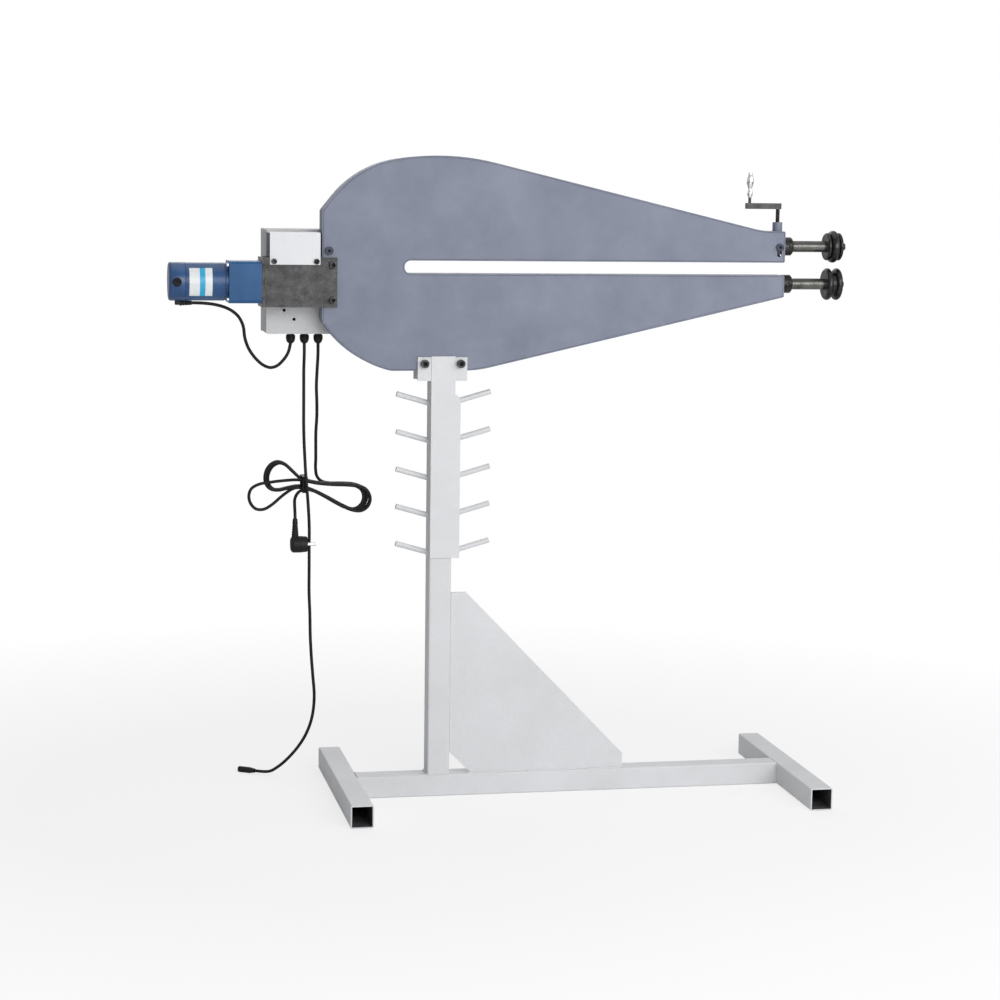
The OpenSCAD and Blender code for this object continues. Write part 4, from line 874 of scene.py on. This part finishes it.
def grip():
    """The turned grip of the crank: a short swell, a neck and a long swell, polished."""
    def bulge(z, middle, radius, sunk):
        """Height of a round bulge whose centre is sunk below the axis."""
        return max(0.0, math.sqrt(max(0.0, radius ** 2 - (z - middle) ** 2)) - sunk)

    outline = []
    for step in range(1, 38):
        z = step * 1.5
        short, long = bulge(z, 9.1, 12, 5.8), bulge(z, 37, 30, 22.05)
        outline.append((z, (4.4 ** 8 + short ** 8 + long ** 8) ** 0.125))
    outline = [(53, 0), (53, 2.9), (0, 2.9), (0, 3.9), (0.5, 4.3), *outline,
               (56.3, 3.6), (56.9, 2.2), (57, 0)]
    piece = turned("turned_grip", outline, (699, 0, 1339), (0, 0, 1), 48, closed=False)
    stands_for(piece, polished_nickel, "crank_grip")


grip()


def collar(node, axis_z):
    """A shaft collar with the hole of its grub screw."""
    hole = turned("grub_hole", [(0, 0), (0, 2.6), (7, 2.6), (7, 0)], (785.5, -24, axis_z + 3),
                  (0, 1, 0), 24, closed=False)
    piece = soften(cut_away(cad_copy(node, node + "_refined"), hole), 0.4)
    stands_for(piece, black_oxide, node)


collar("lower_collar", LOWER_AXIS)
collar("upper_collar", UPPER_AXIS)


def dial():
    """The speed dial and the switch with their white marks, and their black scales on the door."""
    x, dial_z, switch_z, door_y = -0.290, 1.1955, 1.1255, 0.15025
    knob_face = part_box("speed_dial")[1][1]

    def is_mark(face):
        at = face.calc_center_median()
        return abs(at.x - x) < 0.0008 and at.y > knob_face - 0.0009 and 1.1990 < at.z < 1.2070

    knob = cad_copy("speed_dial", "speed_dial_refined")
    two_finishes(knob, black_nylon, white_ink, is_mark)
    stands_for(soften(knob, 0.25), None, "speed_dial")
    ticks = []
    for height, angles in ((dial_z, range(-150, 151, 30)), (switch_z, (-45, 0, 45))):
        for angle in angles:
            mark = block("tick", (-0.4, 0, 18), (0.4, 0.15, 22 if angle % 150 == 0 else 20.5))
            turn = Matrix.Rotation(math.radians(angle), 4, "Y")
            ticks.append(copied(mark, (x, door_y, height), "tick", turn))
            bpy.data.objects.remove(mark)
    finished(joined(ticks, "door_scales"), black_ink, "door", slot_of["enclosure_door"])
    mark = block("switch_mark", (-290.6, 164.55, 1129.5), (-289.4, 164.8, 1136.5))
    finished(mark, white_ink, "switch", slot_of["direction_switch"])


dial()


# ---------------------------------------------------------------- welds and seams

# Distance of the points along a weld bead, and along a seam, and how far a seam lies inside its
# plate's outline
RIPPLE_STEP, SEAM_STEP, SEAM_INSET = 0.0011, 0.004, 0.003


def evenly(points, step, closed=False):
    """Points about so far apart, on the straight lines from point to point."""
    spots = []
    for a, b in zip(points, points[1:] + (points[:1] if closed else [])):
        count = max(1, round((b - a).length / step))
        spots += [a.lerp(b, k / count) for k in range(count)]
    return spots if closed else spots + [points[-1]]


def bead(points, radius, closed=False):
    """A weld bead along points in millimetres: its thickness ripples as the molten pool froze."""
    spots = evenly([Vector(p) / 1000 for p in points], RIPPLE_STEP, closed)

    def ripple(k):
        end = 1.0 if closed else min(1.0, 0.45 + 0.2 * min(k, len(spots) - 1 - k))
        return end * (1 + 0.1 * math.sin(k * 2.1) + 0.06 * math.sin(k * 0.37))

    chosen(round_line("bead", spots, radius / 1000, 2, closed, ripple))
    bpy.ops.object.convert(target="MESH")
    return smoothed(bpy.context.active_object, 60)


def stand_welds():
    """Fillet welds of the stand, painted over: gusset, column, beam, feet, pegs and rack. The
    column's middle is at 0, and the beads lie a little outside the faces of its 50 mm tube."""
    face, corner = 25.6, 23
    gusset_sides = (-22.7, -15.3)
    beads = []
    for z0, z1 in ((106, 171), (251, 329), (398, 459)):
        beads += [bead([(face, y, z0), (face, y, z1)], 2.4) for y in gusset_sides]
    for x0, x1 in ((64, 150), (205, 292), (340, 422)):
        beads += [bead([(x0, y, 50.6), (x1, y, 50.6)], 2.4) for y in gusset_sides]
    beads += [bead([(x, -corner, 50.6), (x, corner, 50.6)], 2.5) for x in (-face, face)]
    beads += [bead([(-24, y, 50.1), (24, y, 50.1)], 1.5) for y in (-24.9, 24.9)]
    for foot, inwards in ((-182, 0.7), (790, -0.7)):
        x = foot + inwards
        beads += [bead([(x, y, 3), (x, y, 47)], 2.5) for y in (-25.7, 25.7)]
        beads.append(bead([(foot, -corner, 50), (foot, corner, 50)], 1.5))
    circle = [k * math.pi / 12 for k in range(24)]
    for peg in range(5):
        peg_z = 550 + 83 * peg
        for side in (-1, 1):
            ring = [(side * face, 6.9 * math.cos(a), peg_z + 7.2 * math.sin(a)) for a in circle]
            beads.append(bead(ring, 1.9, closed=True))
    for z0, z1 in ((556, 622), (700, 766), (836, 898)):
        beads.append(bead([(25.3, -24.9, z0), (25.3, -24.9, z1)], 1.4))
    finished(joined(beads, "stand_welds"), light_grey_coat, "frame", slot_of["column"])


stand_welds()


def plate_outline(node, y):
    """The outer outline of a side plate's face at y, as (x, z) in order."""
    work = bmesh.new()
    work.from_mesh(cad[node].data)
    bmesh.ops.remove_doubles(work, verts=work.verts, dist=SAME_CORNER)
    flat = {face for face in work.faces if all(abs(v.co.y - y) < 0.00002 for v in face.verts)}
    rim = [edge for edge in work.edges if sum(face in flat for face in edge.link_faces) == 1]
    beside = {}
    for edge in rim:
        a, b = edge.verts
        beside.setdefault(a, []).append(b)
        beside.setdefault(b, []).append(a)
    loops = []
    while beside:
        start = at = next(iter(beside))
        loop = []
        while at in beside:
            loop.append((at.co.x, at.co.z))
            after = [v for v in beside.pop(at) if v in beside]
            at = after[0] if after else start
        loops.append(loop)
    work.free()
    return max(loops, key=lambda loop: sum(math.dist(a, b) for a, b in zip(loop, loop[1:])))


def inside_by(outline, inset):
    """The outline moved inwards by the inset."""
    pairs = zip(outline, outline[1:] + outline[:1])
    side = 1 if sum(a[0] * b[1] - b[0] * a[1] for a, b in pairs) > 0 else -1
    moved = []
    for before, at, after in zip(outline[-1:] + outline[:-1], outline, outline[1:] + outline[:1]):
        normals = []
        for a, b in ((before, at), (at, after)):
            way = Vector((b[0] - a[0], b[1] - a[1])).normalized()
            normals.append(Vector((-way.y, way.x)) * side)
        middle = (normals[0] + normals[1]).normalized()
        moved.append(Vector(at) + middle * (inset / max(0.5, middle.dot(normals[0]))))
    return moved


# Where the weld stitches along the body's outline start and end: (x, z) in millimetres
STITCHES = (
    ((338, 1014), (497, 1052)), ((562, 1067), (721, 1103)), ((-257, 1062), (-130, 964)),
    ((-143, 1398), (120, 1407)), ((290, 1371), (550, 1305)))


def seam_runs(node, y):
    """The runs of a side plate's seam: for each, whether it is welded, and its points in
    millimetres."""
    fine = evenly(inside_by(plate_outline(node, y), SEAM_INSET), SEAM_STEP, closed=True)
    welded = [False] * len(fine)
    for ends in STITCHES:
        i, j = sorted(min(range(len(fine)), key=lambda k: (fine[k] - Vector(end) / 1000).length)
                      for end in ends)
        inner = range(i, j + 1) if j - i < len(fine) / 2 else [*range(j, len(fine)), *range(i + 1)]
        for k in inner:
            welded[k] = True
    start = welded.index(True)
    order = [(start + k) % len(fine) for k in range(len(fine))]
    run = [order[0]]
    for k in order[1:] + [None]:
        if k is not None and welded[k] == welded[run[-1]]:
            run.append(k)
            continue
        if len(run) > 1:
            yield welded[run[-1]], [(fine[m].x * 1000, y * 1000, fine[m].y * 1000) for m in run]
        run = [k]


def body_seams():
    """The gap between each side plate and the rim strip: a thin dark line of painted shadow, and
    weld stitches.
    """
    runs = [*seam_runs("front_side_plate", -0.025), *seam_runs("rear_side_plate", 0.025)]
    dark = [[Vector(q) / 1000 for q in points] for is_welded, points in runs if not is_welded]
    # Thin lines of painted shadow along the unwelded stretches of the seam
    chosen(joined([round_line("seam", points, 0.0004, 6) for points in dark], "body_seam_shadow_lines"))
    bpy.ops.object.convert(target="MESH")
    lines = smoothed(bpy.context.active_object, 60)
    finished(lines, seam_painted_shade, "frame", slot_of["front_side_plate"])
    welds = joined([bead(points, 1.3) for is_welded, points in runs if is_welded], "body_welds")
    finished(welds, blue_grey_coat, "frame", slot_of["front_side_plate"])


body_seams()


# ---------------------------------------------------------------- floor, white room and lamps

WHITE = (1, 1, 1, 1)


def pale_floor():
    """A pale floor that fades to white far from the machine."""
    bpy.ops.object.select_all(action="DESELECT")
    bpy.ops.mesh.primitive_circle_add(
        vertices=96, radius=14.0, fill_type="NGON", location=(0.2, 0, -0.0005))
    floor = bpy.context.active_object
    floor.name = "studio_floor"
    bpy.ops.object.transform_apply(location=True, rotation=True, scale=True)
    paint = bpy.data.materials.new("matt_white_floor")
    paint.use_nodes = True
    tree = paint.node_tree
    tree.nodes.clear()
    place = add(tree, "ShaderNodeTexCoord").outputs["Object"]
    reach = add(tree, "ShaderNodeVectorMath", {0: place}, operation="LENGTH")
    far = add(tree, "ShaderNodeMapRange", {
        "Value": reach.outputs["Value"], "From Min": 0.9, "From Max": 2.2,
        "To Min": 0.72, "To Max": 1.0})
    path = add(tree, "ShaderNodeLightPath")
    seen = reckoned(tree, "MULTIPLY", path.outputs["Is Camera Ray"], far.outputs[0])
    lit = add(tree, "ShaderNodeBsdfDiffuse", {"Color": linear("#f4f4f4")})
    glow = add(tree, "ShaderNodeEmission", {"Color": WHITE, "Strength": 1.0})
    mixed = add(tree, "ShaderNodeMixShader", {0: seen, 1: lit.outputs[0], 2: glow.outputs[0]})
    add(tree, "ShaderNodeOutputMaterial", {"Surface": mixed.outputs[0]})
    floor.data.materials.append(paint)


def white_room():
    """A room that is white to the eye, greyer in mirrors, and dim as a light."""
    room = bpy.data.worlds.new("white_room")
    room.use_nodes = True
    scene.world = room
    tree = room.node_tree
    tree.nodes.clear()
    path = add(tree, "ShaderNodeLightPath")
    seen = reckoned(tree, "MAXIMUM",
                    path.outputs["Is Camera Ray"], path.outputs["Is Transmission Ray"])
    fill, mirrored, white = (
        add(tree, "ShaderNodeBackground", {"Color": WHITE, "Strength": strength})
        for strength in (0.3, 0.6, 1.0))
    unseen = add(tree, "ShaderNodeMixShader", {
        0: path.outputs["Is Glossy Ray"], 1: fill.outputs[0], 2: mirrored.outputs[0]})
    mixed = add(tree, "ShaderNodeMixShader", {0: seen, 1: unseen.outputs[0], 2: white.outputs[0]})
    add(tree, "ShaderNodeOutputWorld", {"Surface": mixed.outputs[0]})


def soft_lamp(name, place, size, power):
    """A square lamp that looks at the middle of the machine."""
    lamp = bpy.data.lights.new(name, "AREA")
    lamp.shape = "SQUARE"
    lamp.size = size
    lamp.energy = power
    holder = placed(name, lamp)
    holder.location = place
    way = Vector((0.15, 0, 0.8)) - Vector(place)
    holder.rotation_euler = way.to_track_quat("-Z", "Y").to_euler()


pale_floor()
white_room()
soft_lamp("front_window", (0.9, -4.2, 1.9), 2.6, 95)
soft_lamp("right_window", (3.2, -2.6, 2.2), 2.4, 40)
soft_lamp("ceiling", (0.2, 0.2, 4.2), 3.0, 22)
soft_lamp("rear_window", (0.6, 3.8, 2.6), 2.8, 34)
